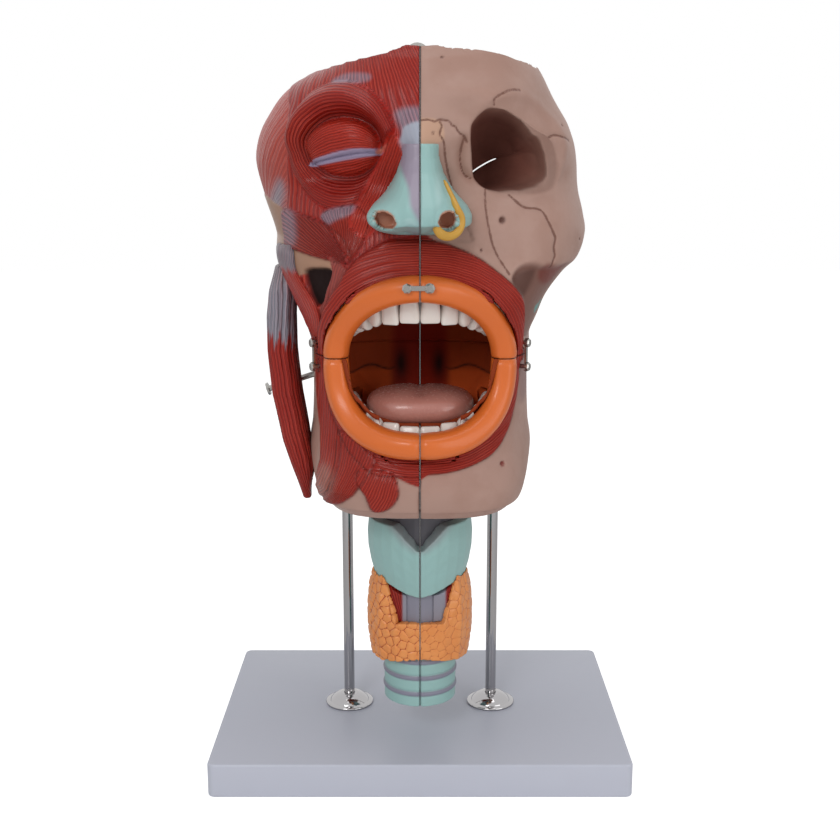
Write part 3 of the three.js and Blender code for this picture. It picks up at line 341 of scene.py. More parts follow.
def rounded(wave, power):
    """A sine or cosine made blunter, for sections between an oval and a box."""
    return np.sign(wave) * np.abs(wave) ** power


def end_scale(k, count, *scales):
    """How far a section shrinks near either end of a row, so that the ends are rounded."""
    end = min(k, count - 1 - k)
    return scales[end] if end < len(scales) else 1.0


def lathe(name, profile, at, sides=48):
    """A round piece from radii and heights, closed along its axis."""
    turns = full_turn(sides)
    rings = [[(at[0] + r * math.cos(t), at[1] + r * math.sin(t), z) for t in turns] for r, z in profile]
    return loft(name, rings)


def quarter_word(side, upper):
    return f"{'upper' if upper else 'lower'}_{WORDS[side]}"


def body_name(side, upper):
    return quarter_word(side, upper) + "_quarter"


def store_coat(obj, coat):
    """Keeps the paint, fibres and lines of a coat on its mesh, where the painted materials read them."""
    store(obj, "paint", coat.colour, "FLOAT_COLOR")
    for name in ("fibre", "grain", "line"):
        store(obj, name, getattr(coat, name))


def shade_node(name, finish):
    """Gives a piece that stays the frame's own its material."""
    node = frame["nodes"][name]
    node.data.materials.clear()
    node.data.materials.append(material(finish))


def finish_piece(obj, body, nodes, finish):
    """Gives a finished piece its material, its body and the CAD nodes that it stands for."""
    obj.data.materials.clear()
    obj.data.materials.append(material(finish))
    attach(obj, body)
    if nodes:
        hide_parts(*nodes)
    return obj


# Forms of the head

def along(table, at):
    """Runs smoothly through a table of shares."""
    xs, ys = np.array(table, float).T
    slope = np.zeros(len(xs))
    slope[1:-1] = (ys[2:] - ys[:-2]) / (xs[2:] - xs[:-2])
    at = np.clip(at, xs[0], xs[-1])
    k = np.clip(np.searchsorted(xs, at, side="right") - 1, 0, len(xs) - 2)
    span, rise = xs[k + 1] - xs[k], ys[k + 1] - ys[k]
    t = (at - xs[k]) / span
    return ys[k] + t * rise + t * (1 - t) * ((1 - t) * (slope[k] * span - rise) + t * (rise - slope[k + 1] * span))


def bump(x, z, cx, cz, sx, sz):
    return np.exp(-(((x - cx) / sx) ** 2) - ((z - cz) / sz) ** 2)


def oval(x, z, wide, high, power):
    """1 on the rim of a rounded box round the mouth, and more outside it."""
    return ((np.abs(x) / wide) ** power + (np.abs(z - SEAM) / high) ** power) ** (1 / power)


def oval_radius(turn, share, widths, depths, roundness):
    """The radius of a rounded section whose size and roundness change with height."""
    wide, deep, power = HALF_WIDTH * along(widths, share), DEPTH * along(depths, share), along(roundness, share)
    s, c = np.maximum(np.sin(turn), 1e-9), np.maximum(np.cos(turn), 1e-9)
    return ((s / wide) ** power + (c / deep) ** power) ** (-1 / power)


def head_radius(side, turn, height, swells, chin=0.0):
    """How far the skin of the head lies from the upright axis at the seam. At chin 1 its lower corners are square."""
    share = (height - HEAD_BOTTOM) / HEAD_HEIGHT
    reach = oval_radius(turn, share, SKULL_WIDTHS if side == LEFT else MUSCLE_WIDTHS, DEPTHS, ROUNDNESS)
    if chin:
        square = oval_radius(turn, share, CHIN_WIDTHS, CHIN_DEPTHS, CHIN_ROUNDNESS)
        part = chin * smooth_step(turn, 1.5, 1.1) * smooth_step(height, 252, 222)
        reach = reach + part * np.maximum(square - reach, 0)
    across = reach * np.sin(turn) / HALF_WIDTH
    for cx, cz, sx, sz, push in swells:
        reach = reach + DEPTH * push * bump(across, share, cx, cz, sx, sz)
    return reach


def face_depth(side, x, z, swells):
    """The Y of the skin at places seen from the front."""
    y = np.full(len(x), -90.0)
    for _ in range(12):
        reach = head_radius(side, np.arctan2(x, -y), z, swells)
        y = 0.5 * y - 0.5 * np.sqrt(np.maximum(reach**2 - x**2, 4))
    return y


def smooth_step(value, low, high):
    t = np.clip((value - low) / (high - low), 0, 1)
    return t * t * (3 - 2 * t)


def curved(points, closed=True, steps=5):
    """Rounds a polygon or a polyline through its points."""
    p = np.array(points, float)
    n = len(p)
    out = []
    for i in range(n if closed else n - 1):
        pick = [(i - 1) % n, i, (i + 1) % n, (i + 2) % n] if closed else [max(i - 1, 0), i, i + 1, min(i + 2, n - 1)]
        a, b, c, d = p[pick]
        for t in np.arange(steps) / steps:
            square, cube = (2 * a - 5 * b + 4 * c - d) * t**2, (3 * b - a - 3 * c + d) * t**3
            out.append(0.5 * (2 * b + (c - a) * t + square + cube))
    if not closed:
        out.append(p[-1])
    return np.array(out)


def line_distance(x, z, line, closed=False):
    """The distance from points to a polyline, and for a closed one whether they lie inside."""
    best = np.full(len(x), 1e9)
    inside = np.zeros(len(x), bool)
    ends = np.roll(line, -1, 0) if closed else line[1:]
    for (ax, az), (bx, bz) in zip(line, ends):
        dx, dz = bx - ax, bz - az
        t = np.clip(((x - ax) * dx + (z - az) * dz) / max(dx * dx + dz * dz, 1e-9), 0, 1)
        best = np.minimum(best, (x - ax - t * dx) ** 2 + (z - az - t * dz) ** 2)
        if closed:
            crosses = (az > z) != (bz > z)
            inside ^= crosses & (x < ax + (z - az) * dx / (dz if abs(dz) > 1e-9 else 1e-9))
    return np.sqrt(best), inside


class Coat:
    """The relief and the paint of a skin, laid on area by area.

    Fibre runs across the strands of a muscle, grain is how strongly they show, line is the distance to the
    nearest suture or crease, where the painted materials draw a dark line (along a crease it is painted
    shade), and matte is 1 where the skin has no shine.
    """

    def __init__(self, x, z, colour):
        self.x, self.z = x, z
        self.lift = np.zeros(len(x))
        self.colour = np.tile(np.array(colour, float), (len(x), 1))
        self.fibre = np.zeros(len(x))
        self.grain = np.zeros(len(x))
        self.line = np.full(len(x), NO_LINE)
        self.matte = np.zeros(len(x))

    def inside(self, outline, edge=1.4, rounded=True):
        """1 inside an outline and 0 outside, with a soft edge."""
        line = curved(outline) if rounded else np.array(outline, float)
        margin = 3 * edge + 1
        low, high = line.min(0) - margin, line.max(0) + margin
        near = (self.x > low[0]) & (self.x < high[0]) & (self.z > low[1]) & (self.z < high[1])
        mask = np.zeros(len(self.x))
        reach, within = line_distance(self.x[near], self.z[near], line, True)
        mask[near] = smooth_step(np.where(within, reach, -reach), -edge / 2, edge / 2)
        return mask

    def lay(self, mask, colour=None, lift=None, fibre=None, grain=None):
        """Gives the part under a mask a colour, a height, fibres and a grain, or some of them."""
        if colour is not None:
            self.colour += mask[:, None] * (np.array(colour, float) - self.colour)
        if lift is not None:
            self.lift += mask * (lift - self.lift)
        if grain is not None:
            self.grain += mask * (grain - self.grain)
        if fibre is not None:
            self.fibre = np.where(mask > 0.5, fibre, self.fibre)

    def area(self, outline, edge, *values):
        """Lays colour, lift, fibres and grain inside an outline."""
        self.lay(self.inside(outline, edge), *values)

    def tint(self, outline, edge, colour, share=1.0, where=1):
        """Tints the paint inside an outline."""
        self.shade(self.inside(outline, edge) * where, colour, share)

    def shade(self, mask, colour, share=1.0):
        """Tints the paint that is there."""
        self.colour += (share * mask)[:, None] * (np.array(colour, float) - self.colour)

    def crease(self, outline, depth, width, closed=True, dark=0.5):
        """Sinks the skin along a line, and darkens it there with painted shade of the groove."""
        line = curved(outline, closed)
        reach, _ = line_distance(self.x, self.z, line)
        groove = np.exp(-((reach / width) ** 2))
        self.lift -= depth * groove
        # Painted shade in the groove; dark is its share
        self.colour *= (1 - 0.6 * dark * groove)[:, None]
        # Where the painted materials draw a dark line, which along a crease is painted shade
        self.line = np.minimum(self.line, reach + 0.35)

    def dark_line(self, outline, depth=0.5):
        """A suture between two bones."""
        reach, _ = line_distance(self.x, self.z, curved(outline, False, 4))
        self.line = np.minimum(self.line, reach)
        self.lift -= depth * np.exp(-((reach / 1.3) ** 2))


def linear(r, g, b):
    """A colour as seen on screen, turned into the numbers that a material takes."""
    values = np.array([r, g, b], float) / 255
    return np.where(values <= 0.04045, values / 12.92, ((values + 0.055) / 1.055) ** 2.4)


RED = linear(156, 28, 20)
SHADED_RED = linear(112, 14, 10)
BRIGHT_RED = linear(178, 42, 28)
DULL_RED = linear(180, 74, 64)
BAND_RED = linear(160, 38, 26)
BONE = linear(172, 139, 127)
CHEEK_BONE = linear(164, 126, 104)
TENDON = linear(146, 148, 160)
LILAC = linear(146, 134, 150)
SHADOW_BLACK = linear(26, 10, 9)
TEAL = linear(150, 187, 184)
OCHRE = linear(196, 150, 62)
CAVITY_SHADED = linear(128, 28, 10)
CAVITY_WALL = linear(146, 56, 22)
CAVITY_SIDE = linear(140, 58, 28)
SOCKET_SHADE, DEEP_SOCKET_SHADE = linear(142, 102, 90), linear(112, 68, 58)
MUSCLE_INSIDE = linear(128, 60, 50)

# Outlines on the face, as distances from the seam and heights
LIP_BAND_UPPER_SKULL = [
    (-9, 391.6), (11.2, 389.9), (24.1, 385.9), (38.2, 378.9), (50.2, 370.1), (57.5, 363.8), (64.9, 355), (67.4, 345),
    (67.5, 325), (67.5, 300), (30, 300), (-9, 300),
]
LIP_BAND_LOWER_SKULL = [
    (66.5, 330), (66, 303.8), (63, 282), (57.7, 263), (48.6, 251.0), (34.8, 244.5), (20.1, 240.9), (5.6, 239.5),
    (-9, 239.5), (-9, 330),
]
LIP_BAND_UPPER_MUSCLE = [
    (-9, 391.5), (7.7, 392.0), (19.4, 390.8), (27.2, 387.2), (36.8, 381.4), (46.3, 372.0), (51.1, 364.0),
    (59.8, 350.5),
    (65.9, 333.8), (69.4, 311.8), (69, 300), (-9, 300),
]
LIP_BAND_LOWER_MUSCLE = [
    (-9, 238.1), (17.6, 238.5), (29.8, 239.5), (38.2, 244.7), (48.2, 254.2), (57.0, 271.5), (61.2, 288.6),
    (64.0, 312.0),
    (64, 330), (-9, 330),
]
OCULI_CENTRE, LID_SIZE, RING_GROWTH = (49.0, 448.0), (23.5, 17.5), (11.5, 22)
LIDS_MIDDLE, LIDS_HALF = 47.5, 24
TEMPLE_EDGE = [(84.0, 492), (84.5, 482), (84.2, 464.8), (86.0, 437.9), (88.1, 408.3), (97, 392), (104, 384)]
TEMPLE_TENDON = [(93.4, 427.8), (90, 421.2), (91.5, 410.0), (98, 396), (104, 392), (106, 402), (99.4, 420)]
BROW_GREY = [(54.1, 489.0), (44.7, 492), (31.5, 491), (31.5, 487), (40.9, 486), (52.0, 486.5)]
LILAC_BROW = [(15.0, 469.5), (-3, 470.5), (-3, 446), (8.5, 446), (11, 456)]
NOSE_SIDE = [(-3, 461), (9, 461), (12, 454), (16.5, 447), (17, 439), (13, 431), (-3, 428)]
NASAL_STRIP = [
    (18, 456), (12, 450), (9, 437), (20, 420), (27, 411), (28, 400), (34.1, 392.5), (42.5, 397), (43.0, 404),
    (36, 420), (26, 440),
]
CHEEK_GREY = [(62.7, 404.7), (56.5, 409.5), (40.0, 412.3), (39.7, 408.2), (52.7, 402.7), (57.5, 400.3)]
ZYGO_GREY = [(90.8, 406.4), (82.3, 406.8), (80.4, 398.4), (81.6, 386.2), (89.4, 388.3)]
ZYGO_MINOR = [
    (90.8, 407.4), (81.2, 406.8), (64.2, 402.2), (52.9, 395.2), (45.4, 386.5), (44.3, 376.4), (56.6, 377.1),
    (81.5, 382.7), (90.3, 386.5),
]
LEVATOR = [(61.3, 406.7), (40.8, 411.9), (32.4, 403.5), (36.1, 389.1), (43.5, 378.0), (48.2, 383.2), (54.9, 393.2)]
CHEEKBONE = [
    (112, 414), (97, 412), (90, 406), (88.5, 387), (79, 383), (60, 383.5), (54, 377), (54, 371), (64.8, 370.5),
    (77, 367), (90, 362), (112, 366),
]
HOLE = [
    (75.0, 369.9), (64.8, 372.5), (57.5, 371.7), (57.5, 367.1), (60.7, 358.7), (63.4, 350.0), (68.2, 348.5),
    (72.9, 358.6),
]
BUCCAL = [
    (57.0, 380), (46.1, 371.0), (49.1, 364.0), (57.8, 350.5), (63.4, 338), (67.9, 336.0), (64.2, 350),
    (60.2, 360.7), (56.4, 370),
]
TRIANGULARIS = [
    (70.6, 316.0), (62, 316), (59.5, 300), (59.7, 286.6), (55.5, 271.5), (52.3, 258.0), (52.5, 244.6),
    (52.9, 231.1), (53.4, 217),
    (58, 213), (64.4, 224), (66.8, 245.9), (68.3, 269.0), (69.7, 287.6),
]
DEPRESSOR = [
    (54.4, 262), (47.2, 262.6), (35.2, 254.2), (29.0, 248.8), (33.5, 237.7), (38.7, 227.8), (45, 216.5),
    (53, 216.0), (55, 233.1),
]
MENTALIS = [
    (37.5, 241.7), (18.8, 240.9), (13.6, 231.0), (15.0, 221.8), (20.5, 216.2), (26, 215.2), (31.1, 220.6),
    (35.9, 227.2), (39.9, 234.2),
]
JAW_BONE = [
    (-9, 240.5), (20, 241), (33, 236), (45, 225), (53, 216), (62, 224), (67.5, 247), (70.5, 275), (76, 315),
    (95, 315), (95, 190), (-9, 190),
]
FRONTONASAL = [
    (0.4, 464.1), (5.4, 464.6), (9, 463.4), (12.1, 464.6), (17.9, 463.8), (19.5, 461.5), (21.8, 460.5), (24, 457),
    (27.2, 454.9), (29.2, 451.1),
]
NASOMAXILLARY = [(12.1, 463.3), (13.5, 460.5), (12.1, 455.8), (14.6, 451.1), (17.2, 434.9), (23.3, 411.7)]
LACRIMAL = [(27.2, 453.1), (25.4, 444.5), (26.1, 436.8), (28.7, 431.0), (32.2, 429.0)]
BROW_CRACK = [(45.9, 473.2), (45.6, 476.5), (49.8, 479.0), (55.9, 481.4), (63.2, 481.9)]
FRONTOZYGOMATIC = [(82.0, 453.3), (87.0, 455.9), (91.8, 455.0), (97.1, 452.6)]
ZYGOMAXILLARY = [
    (56.4, 418.7), (62, 413.5), (67.7, 410.3), (77.2, 408.6), (82.4, 400.1), (85.4, 394), (87.2, 390.1),
    (86.4, 384), (87.4, 379.1), (84.8, 372.1),
]
MAXILLA = [(40.8, 422.7), (42.1, 406.8), (47.2, 386.3), (57.4, 368.5)]
# The strap of muscle from the cheekbone: height, distance from the middle and half width
STRAP = [
    (385.5, 89.5, 6.2), (381, 89.2, 6.7), (370, 88.3, 7.0), (362, 84.8, 8.2), (356, 81, 9.2), (348, 76.5, 9.6),
    (340, 73.5, 8.8),
    (331, 71.4, 5.6), (325, 69.6, 2.6),
]
CHEEK_HOLLOW = [
    (59.9, 364.2), (64, 372), (72, 374.5), (80.2, 372.2), (88.2, 371.4), (102, 371), (98, 350), (92, 336),
    (76, 322), (67.5, 330), (68.0, 350.0),
]
CHEEK_SHADE_SPOT = [(82, 374), (90, 372), (99, 371.5), (92, 362), (84, 360), (79, 366)]
SUTURES = (FRONTONASAL, NASOMAXILLARY, LACRIMAL, BROW_CRACK, FRONTOZYGOMATIC, ZYGOMAXILLARY, MAXILLA)
CHEEK_PIT = [(60, 364), (66, 370), (76, 371), (74, 362), (66, 352)]
CHEEK_TEAL = [(80, 345), (88, 345), (88, 339), (80, 339)]
JAW_SHADE = [(66, 316), (74, 316), (78, 296), (72, 280), (66, 286)]
WORN_CORNER = [(53, 232), (54, 214), (60, 212), (66, 226), (62, 240)]
NASAL_BONE = [(-3, 464), (12, 464), (14, 452), (-3, 450)]
NOSE_LILAC = [(-3, 458), (14, 458), (15, 449), (12, 436), (7, 424), (5, 412), (-3, 405)]
THYROID_NOTCH = [(-8, 200), (25, 200), (23, 194), (12, 182), (5, 177.5), (-8, 176.5)]
# Small holes in the bone: distance from the seam, height and radius
FORAMINA = [
    (53.2, 402.8, 2.6), (13.6, 502.0, 0.9), (8.0, 456.6, 0.9), (38.6, 384.4, 1.0), (93.9, 462.6, 0.9),
    (107.0, 388.5, 0.9), (53.9, 242.2, 1.8),
]


def lip_reach(x, z):
    """How far a place lies round the mouth, so that fibres run along the lips."""
    return 52 * oval(x, z, LIP_WIDE, LIP_HIGH, 2.3)


def around(x, z, cx, cz, spread):
    """Fibres that spread like a fan from a point."""
    return spread * np.arctan2(x - cx, z - cz)


def eye_ring(x, z):
    """0 at the edge of the lid and 1 at the outer edge of the ring muscle round the eye."""
    dx, dz = x - OCULI_CENTRE[0], z - OCULI_CENTRE[1]
    low, high = np.full(len(x), -1.0), np.full(len(x), 3.0)
    for _ in range(18):
        t = (low + high) / 2
        wide, high_at = LID_SIZE[0] + RING_GROWTH[0] * t, LID_SIZE[1] + RING_GROWTH[1] * t
        outside = (dx / wide) ** 2 + (dz / np.maximum(high_at, 0.2)) ** 2 > 1
        outside |= t < -0.79
        low = np.where(outside, t, low)
        high = np.where(outside, high, t)
    return (low + high) / 2


def lid_line(x):
    """The height of the closed lids' slit."""
    return 437.5 + 7.4 * np.sin(np.clip((70.5 - x) / 46, 0, 1) * 1.75)


def muscle_coat(x, z, arc):
    """The upper right quarter: forehead, temple, eye, cheek and upper lip."""
    coat = Coat(x, z, RED)
    drop = np.clip(508 - z, 0, 60)
    coat.fibre = (x + 46 * 0.0137 * drop) / (1 + 0.0137 * drop)
    coat.grain += 0.9
    temple = smooth_step(x - np.interp(z, *np.array(sorted((h, d) for d, h in TEMPLE_EDGE)).T), -0.8, 0.8)
    temple *= smooth_step(z, 384, 388)
    coat.lay(temple, DULL_RED, -1.2, around(arc, z, 168, 370, 62), 0.6)
    coat.tint(TEMPLE_TENDON, 9, TENDON, 0.85)
    coat.tint(LILAC_BROW, 5, LILAC, 0.9)
    coat.area(NOSE_SIDE, 2.5, linear(160, 166, 180), None, None, 0.1)
    ring = eye_ring(x, z)
    oculi = smooth_step(ring, 1.04, 0.97) * (1 - temple) * smooth_step(x, 14, 18)
    upper = smooth_step(z, 440, 462)
    roll = np.exp(-(((ring - 0.62) / 0.33) ** 2)) * (4.5 + 5.5 * upper)
    coat.lay(oculi, RED, None, ring * 21, 1)
    coat.lift += oculi * roll
    inner = np.exp(-(((ring - 0.08) / 0.16) ** 2))
    coat.lift -= inner * (1.0 + 2.5 * upper)
    # Painted shade in the groove inside the ring muscle
    coat.shade(inner * oculi, SHADED_RED, 0.6)
    dx, dz = (x - OCULI_CENTRE[0]) / LID_SIZE[0], (z - OCULI_CENTRE[1]) / LID_SIZE[1]
    ball = np.sqrt(np.clip(1 - dx**2 - dz**2, 0, 1))
    lid = smooth_step(ring, 0.06, -0.04)
    slit = lid_line(x)
    bend = np.sqrt(np.clip(1.08 - dx**2, 0.05, 1))
    coat.lay(lid, BRIGHT_RED, None, (z - slit) / bend, 1)
    coat.lift += 12.5 * ball
    away = z - slit
    lens = np.sqrt(np.clip(1 - ((x - LIDS_MIDDLE) / LIDS_HALF) ** 2, 0, 1))
    lids = (lens > 0) * np.exp(-((away / (0.7 + 2.9 * lens)) ** 2))
    coat.lay(smooth_step(lids, 0.3, 0.6), linear(150, 138, 166), None, None, 0.15)
    between = np.abs(x - LIDS_MIDDLE) < LIDS_HALF - 1
    coat.lift += 1.0 * lids - 1.8 * between * np.exp(-((away / 0.8) ** 2))
    # Painted shade in the slit between the lids
    coat.shade(between * np.exp(-((away / 0.75) ** 2)), linear(92, 84, 110), 0.8)
    coat.tint(BROW_GREY, 3, LILAC, 0.8)
    tendon, _ = line_distance(x, z, np.array([(26, 445.0), (15.5, 451.5)]))
    coat.lay(smooth_step(tendon, 2.0, 0.8), linear(196, 120, 104), coat.lift + 1.0, None, 0.3)
    coat.area(CHEEKBONE, 1.5, CHEEK_BONE, -0.5, None, 0)
    # These two muscles take darker copies of the reds: painted shade of the cheek
    coat.area(ZYGO_MINOR, 1.6, RED * 0.72, 0.9, around(x, z, 38, 368, 42), 1)
    coat.tint(ZYGO_GREY, 7, LILAC, 0.85)
    coat.area(LEVATOR, 1.6, BRIGHT_RED * 0.75, 1.3, around(x, z, 47, 368, 36), 1)
    coat.tint(CHEEK_GREY, 3, LILAC, 0.85)
    coat.area(NASAL_STRIP, 5, BRIGHT_RED, 0.8, 0.92 * x + 0.38 * z, 0.8)
    coat.area(BUCCAL, 1.4, linear(150, 66, 60), -0.5, 0.95 * x + 0.25 * z, 0.7)
    # The hole in the cheek: sunk, and painted near black without shine for the shade inside it
    hole = coat.inside(HOLE, 2.2)
    coat.lay(hole, SHADOW_BLACK, -4.2, None, 0)
    coat.matte = np.maximum(coat.matte, hole)
    coat.area(LIP_BAND_UPPER_MUSCLE, 1.6, BAND_RED, 2.0, lip_reach(x, z), 0.85)
    # Creases: painted shade along the borders of the lip band and the cheek muscles
    coat.crease(LIP_BAND_UPPER_MUSCLE[:10], 0.6, 1.1, False, 0.45)
    for outline in (ZYGO_MINOR, LEVATOR):
        coat.crease(outline, 0.35, 0.9, True, 0.3)
    return coat


def lower_muscle_coat(x, z, arc):
    """The lower right quarter: jaw, chin and lower lip. It needs no arc, but all coats are called alike."""
    coat = Coat(x, z, BONE)
    coat.lay(smooth_step(z, 262, 268) * smooth_step(x, 73, 70), DULL_RED, None, x, 0.5)
    coat.area(JAW_BONE, 1.5, BONE, -0.4, None, 0)
    coat.area(LIP_BAND_LOWER_MUSCLE, 1.6, BAND_RED, 1.6, lip_reach(x, z), 0.85)
    coat.area(DEPRESSOR, 1.6, BAND_RED, 1.6, around(x, z, 55, 196, 52), 0.9)
    coat.area(MENTALIS, 1.8, BAND_RED * 1.05, 2.2, x + 0.3 * z, 0.9)
    coat.area(TRIANGULARIS, 1.6, BAND_RED, 1.4, x + 0.06 * z, 0.8)
    coat.tint(WORN_CORNER, 9, BONE, 0.55)
    # Creases: painted shade along the borders of the chin muscles and the lip band
    for outline in (DEPRESSOR, MENTALIS, TRIANGULARIS):
        coat.crease(outline, 0.35, 1.0, True, 0.35)
    coat.crease(LIP_BAND_LOWER_MUSCLE[:9], 0.3, 1.0, False, 0.3)
    return coat


def skull_coat(x, z, arc):
    """The upper left quarter: bone with its sutures, and the muscle round the lip."""
    coat = Coat(x, z, BONE)
    dx, dz = x - ORBIT[0], z - ORBIT[1]
    rim = np.sqrt((dx / ORBIT_SIZE[0]) ** 2 + (dz / ORBIT_SIZE[1]) ** 2)
    coat.lift += 1.6 * np.exp(-(((rim - 1.12) / 0.12) ** 2)) * smooth_step(x, 30, 40)
    coat.lift += 2.2 * bump(x, z, 36, 482, 26, 6) - 1.4 * bump(x, z, 30, 494, 30, 6)
    coat.lift += 3.0 * bump(x, z, 92, 405, 16, 14) - 2.2 * bump(x, z, 55, 393, 13, 15)
    coat.lift += 1.8 * bump(x, z, 34, 405, 8, 26) - 1.0 * bump(x, z, 24, 470, 10, 7)
    coat.lift += 1.5 * bump(x, z, 97, 462, 8, 22)
    coat.tint(NASAL_BONE, 2, linear(196, 156, 130), 0.7)
    for line in SUTURES:
        coat.dark_line(line)
    reach, _ = line_distance(x, z, curved(LACRIMAL, False))
    # Painted shade and a dip along the lacrimal groove
    coat.shade(np.exp(-((reach / 3) ** 2)), linear(140, 100, 84), 0.5)
    coat.lift -= 1.6 * np.exp(-((reach / 3) ** 2))
    front = smooth_step(arc, 132, 108)
    # The cheek hollow: sunk, with painted shade and two darker spots of painted shade, at the front only
    hollow = coat.inside(CHEEK_HOLLOW, 5)
    coat.lay(hollow * front, linear(122, 86, 76), -3.6)
    coat.tint(CHEEK_SHADE_SPOT, 5, linear(116, 52, 42), 0.85, front)
    coat.tint(CHEEK_PIT, 5, linear(84, 54, 46), 0.85, front)
    coat.tint(CHEEK_TEAL, 2, linear(90, 150, 145), 0.9, front)
    for px, pz, size in FORAMINA:
        away = np.hypot(x - px, z - pz)
        coat.lift -= min(2.6, 1.5 * size) * np.exp(-((away / (0.8 * size)) ** 2))
        # Painted shade inside each small hole
        coat.shade(smooth_step(away, 1.15 * size, 0.5 * size), linear(84, 50, 42), 0.9)
    coat.area(LIP_BAND_UPPER_SKULL, 1.2, BAND_RED, 2.4, lip_reach(x, z), 1)
    # Crease: painted shade along the lip band's border
    coat.crease(LIP_BAND_UPPER_SKULL[:9], 0.8, 1.0, False, 0.5)
    return coat


def lower_skull_coat(x, z, arc):
    """The lower left quarter: the mandible, and the muscle round the lip."""
    coat = Coat(x, z, BONE)
    coat.lift += 1.8 * bump(x, z, 0, 222, 22, 9) + 1.2 * bump(x, z, 40, 216, 16, 8)
    coat.lift += 1.2 * bump(x, z, 60, 270, 5, 30)
    px, pz, _ = FORAMINA[-1]
    away = np.hypot(x - px, z - pz)
    coat.lift -= 2.4 * np.exp(-((away / 1.5) ** 2))
    # Painted shade inside the hole in the chin
    coat.shade(smooth_step(away, 2.1, 1.0), linear(120, 40, 34), 0.9)
    front = smooth_step(arc, 132, 108)
    coat.tint(JAW_SHADE, 8, linear(120, 90, 92), 0.6, front)
    coat.area(LIP_BAND_LOWER_SKULL, 1.2, BAND_RED, 2.2, lip_reach(x, z), 1)
    # Crease: painted shade along the lip band's border
    coat.crease(LIP_BAND_LOWER_SKULL[1:8], 0.6, 1.0, False, 0.45)
    return coat


COATS = dict(zip(QUARTERS, (muscle_coat, lower_muscle_coat, skull_coat, lower_skull_coat)))


def outer_reach(obj, points, out, reach, guess):
    """How far the outermost skin lies from the upright axis in the direction of each point."""
    tree = hit_tree(obj)
    found = np.full(len(points), BARE)
    spare = 25.0
    near = np.flatnonzero((np.abs(reach - guess) < 20) & (reach > 5))
    starts = points[near] + out[near] * (guess - reach + spare)[near, None]
    starts[:, 2] = np.clip(starts[:, 2], points[:, 2].min() + 1.2, points[:, 2].max() - 1.2)
    middle = np.abs(points[near, 0]) < 1.2
    starts[middle, 0] += np.sign(points[near, 0][middle]) * 1.2
    starts = starts * MM
    inwards = -1 if points[:, 2].max() > SEAM + 20 else 1
    nudges = [Vector((0, 0, nudge * inwards * MM)) for nudge in (-0.07, 0.11, 0.35, 0.9, 1.6, 2.4, 3.4)]
    for k, start, way in zip(near, starts, -out[near]):
        for nudge in nudges:
            hit = tree.ray_cast(Vector(start) + nudge, way, FAR * MM)
            if hit[3] is not None:
                found[k] = guess[k] + spare - hit[3] / MM
                break
    return found


def orbit_shift(x, z):
    """Turns the round opening of the eye socket in the frame into the real one's four-sided rim."""
    dx, dz = x - ORBIT[0], z - ORBIT[1]
    rho = np.hypot(dx / ORBIT_SIZE[0], dz / ORBIT_SIZE[1])
    rim = curved(ORBIT_RIM) - ORBIT
    order = np.argsort(np.arctan2(rim[:, 1], rim[:, 0]))
    turns, reaches = np.arctan2(rim[:, 1], rim[:, 0])[order], np.hypot(rim[:, 0], rim[:, 1])[order]
    turn = np.arctan2(dz, dx)
    wanted = np.interp(turn, turns, reaches, period=2 * math.pi)
    oval = 1 / np.hypot(np.cos(turn) / ORBIT_SIZE[0], np.sin(turn) / ORBIT_SIZE[1])
    scale = 1 + (wanted / oval - 1) * smooth_step(rho, 1.7, 1.05)
    return ORBIT[0] + dx * scale, ORBIT[1] + dz * scale, rho


def shape_socket(points, side, x, y, z, swells):
    """Fits the eye socket's rim and draws its slit in to a thin line."""
    new_x, new_z, rho = orbit_shift(x, z)
    surface = face_depth(side, x, z, swells)
    depth = y - surface
    near = (rho < 1.7) & (y < -20)
    drift = face_depth(side, new_x, new_z, swells) - surface
    points[near, 0] = new_x[near] * side
    points[near, 2] = new_z[near]
    points[near, 1] += (drift * smooth_step(depth, 30, 8))[near]
    along_x, along_z = SLIT_ALONG
    across = -(new_x - SLIT_AT[0]) * along_z + (new_z - SLIT_AT[1]) * along_x
    run = (new_x - SLIT_AT[0]) * along_x + (new_z - SLIT_AT[1]) * along_z
    bend = across - 1.5 + run**2 / 110
    shrink = bend * (0.2 + 0.8 * smooth_step(np.abs(bend), 3.4, 11)) - bend
    shrink = shrink * smooth_step(depth, 14, 20) * (rho < 1.1)
    points[:, 0] += -along_z * shrink * side
    points[:, 2] += along_x * shrink
    return rho, depth


def cavity_paint(points, side):
    """The colour of the mouth's lining: brown walls with painted shade that darkens them towards the back, in two
    recesses and under the top of the back wall, and a dark wavy line across the back wall.
    """
    x, y, z = seen_from_front(points, side)
    # Painted shade: darker towards the back of the mouth
    deep = smooth_step(y, -112, -70)
    inner = CAVITY_SHADED + smooth_step(x, 15, 24)[:, None] * (CAVITY_WALL - CAVITY_SHADED)
    low = smooth_step(x, 18, 24) * smooth_step(z, 297, 292)
    inner = inner + 0.8 * low[:, None] * (linear(186, 76, 28) - inner)
    tone = CAVITY_SIDE + deep[:, None] * (inner - CAVITY_SIDE)
    # Painted shade in two recesses of the back wall and under the top of the back
    dark = 0.97 * bump(x, z, 13.5, 298, 5, 12) * smooth_step(y, -66, -50)
    dark = np.maximum(dark, 0.55 * smooth_step(z, 322, 345) * deep)
    wavy = np.exp(-(((z - 296 - 1.8 * np.sin(0.24 * x - 0.6)) / 0.8) ** 2))
    wavy = wavy * smooth_step(y, -60, -48) * smooth_step(x, 14, 20)
    dark = np.maximum(dark, 0.85 * wavy)
    return tone + dark[:, None] * (SHADOW_BLACK - tone)


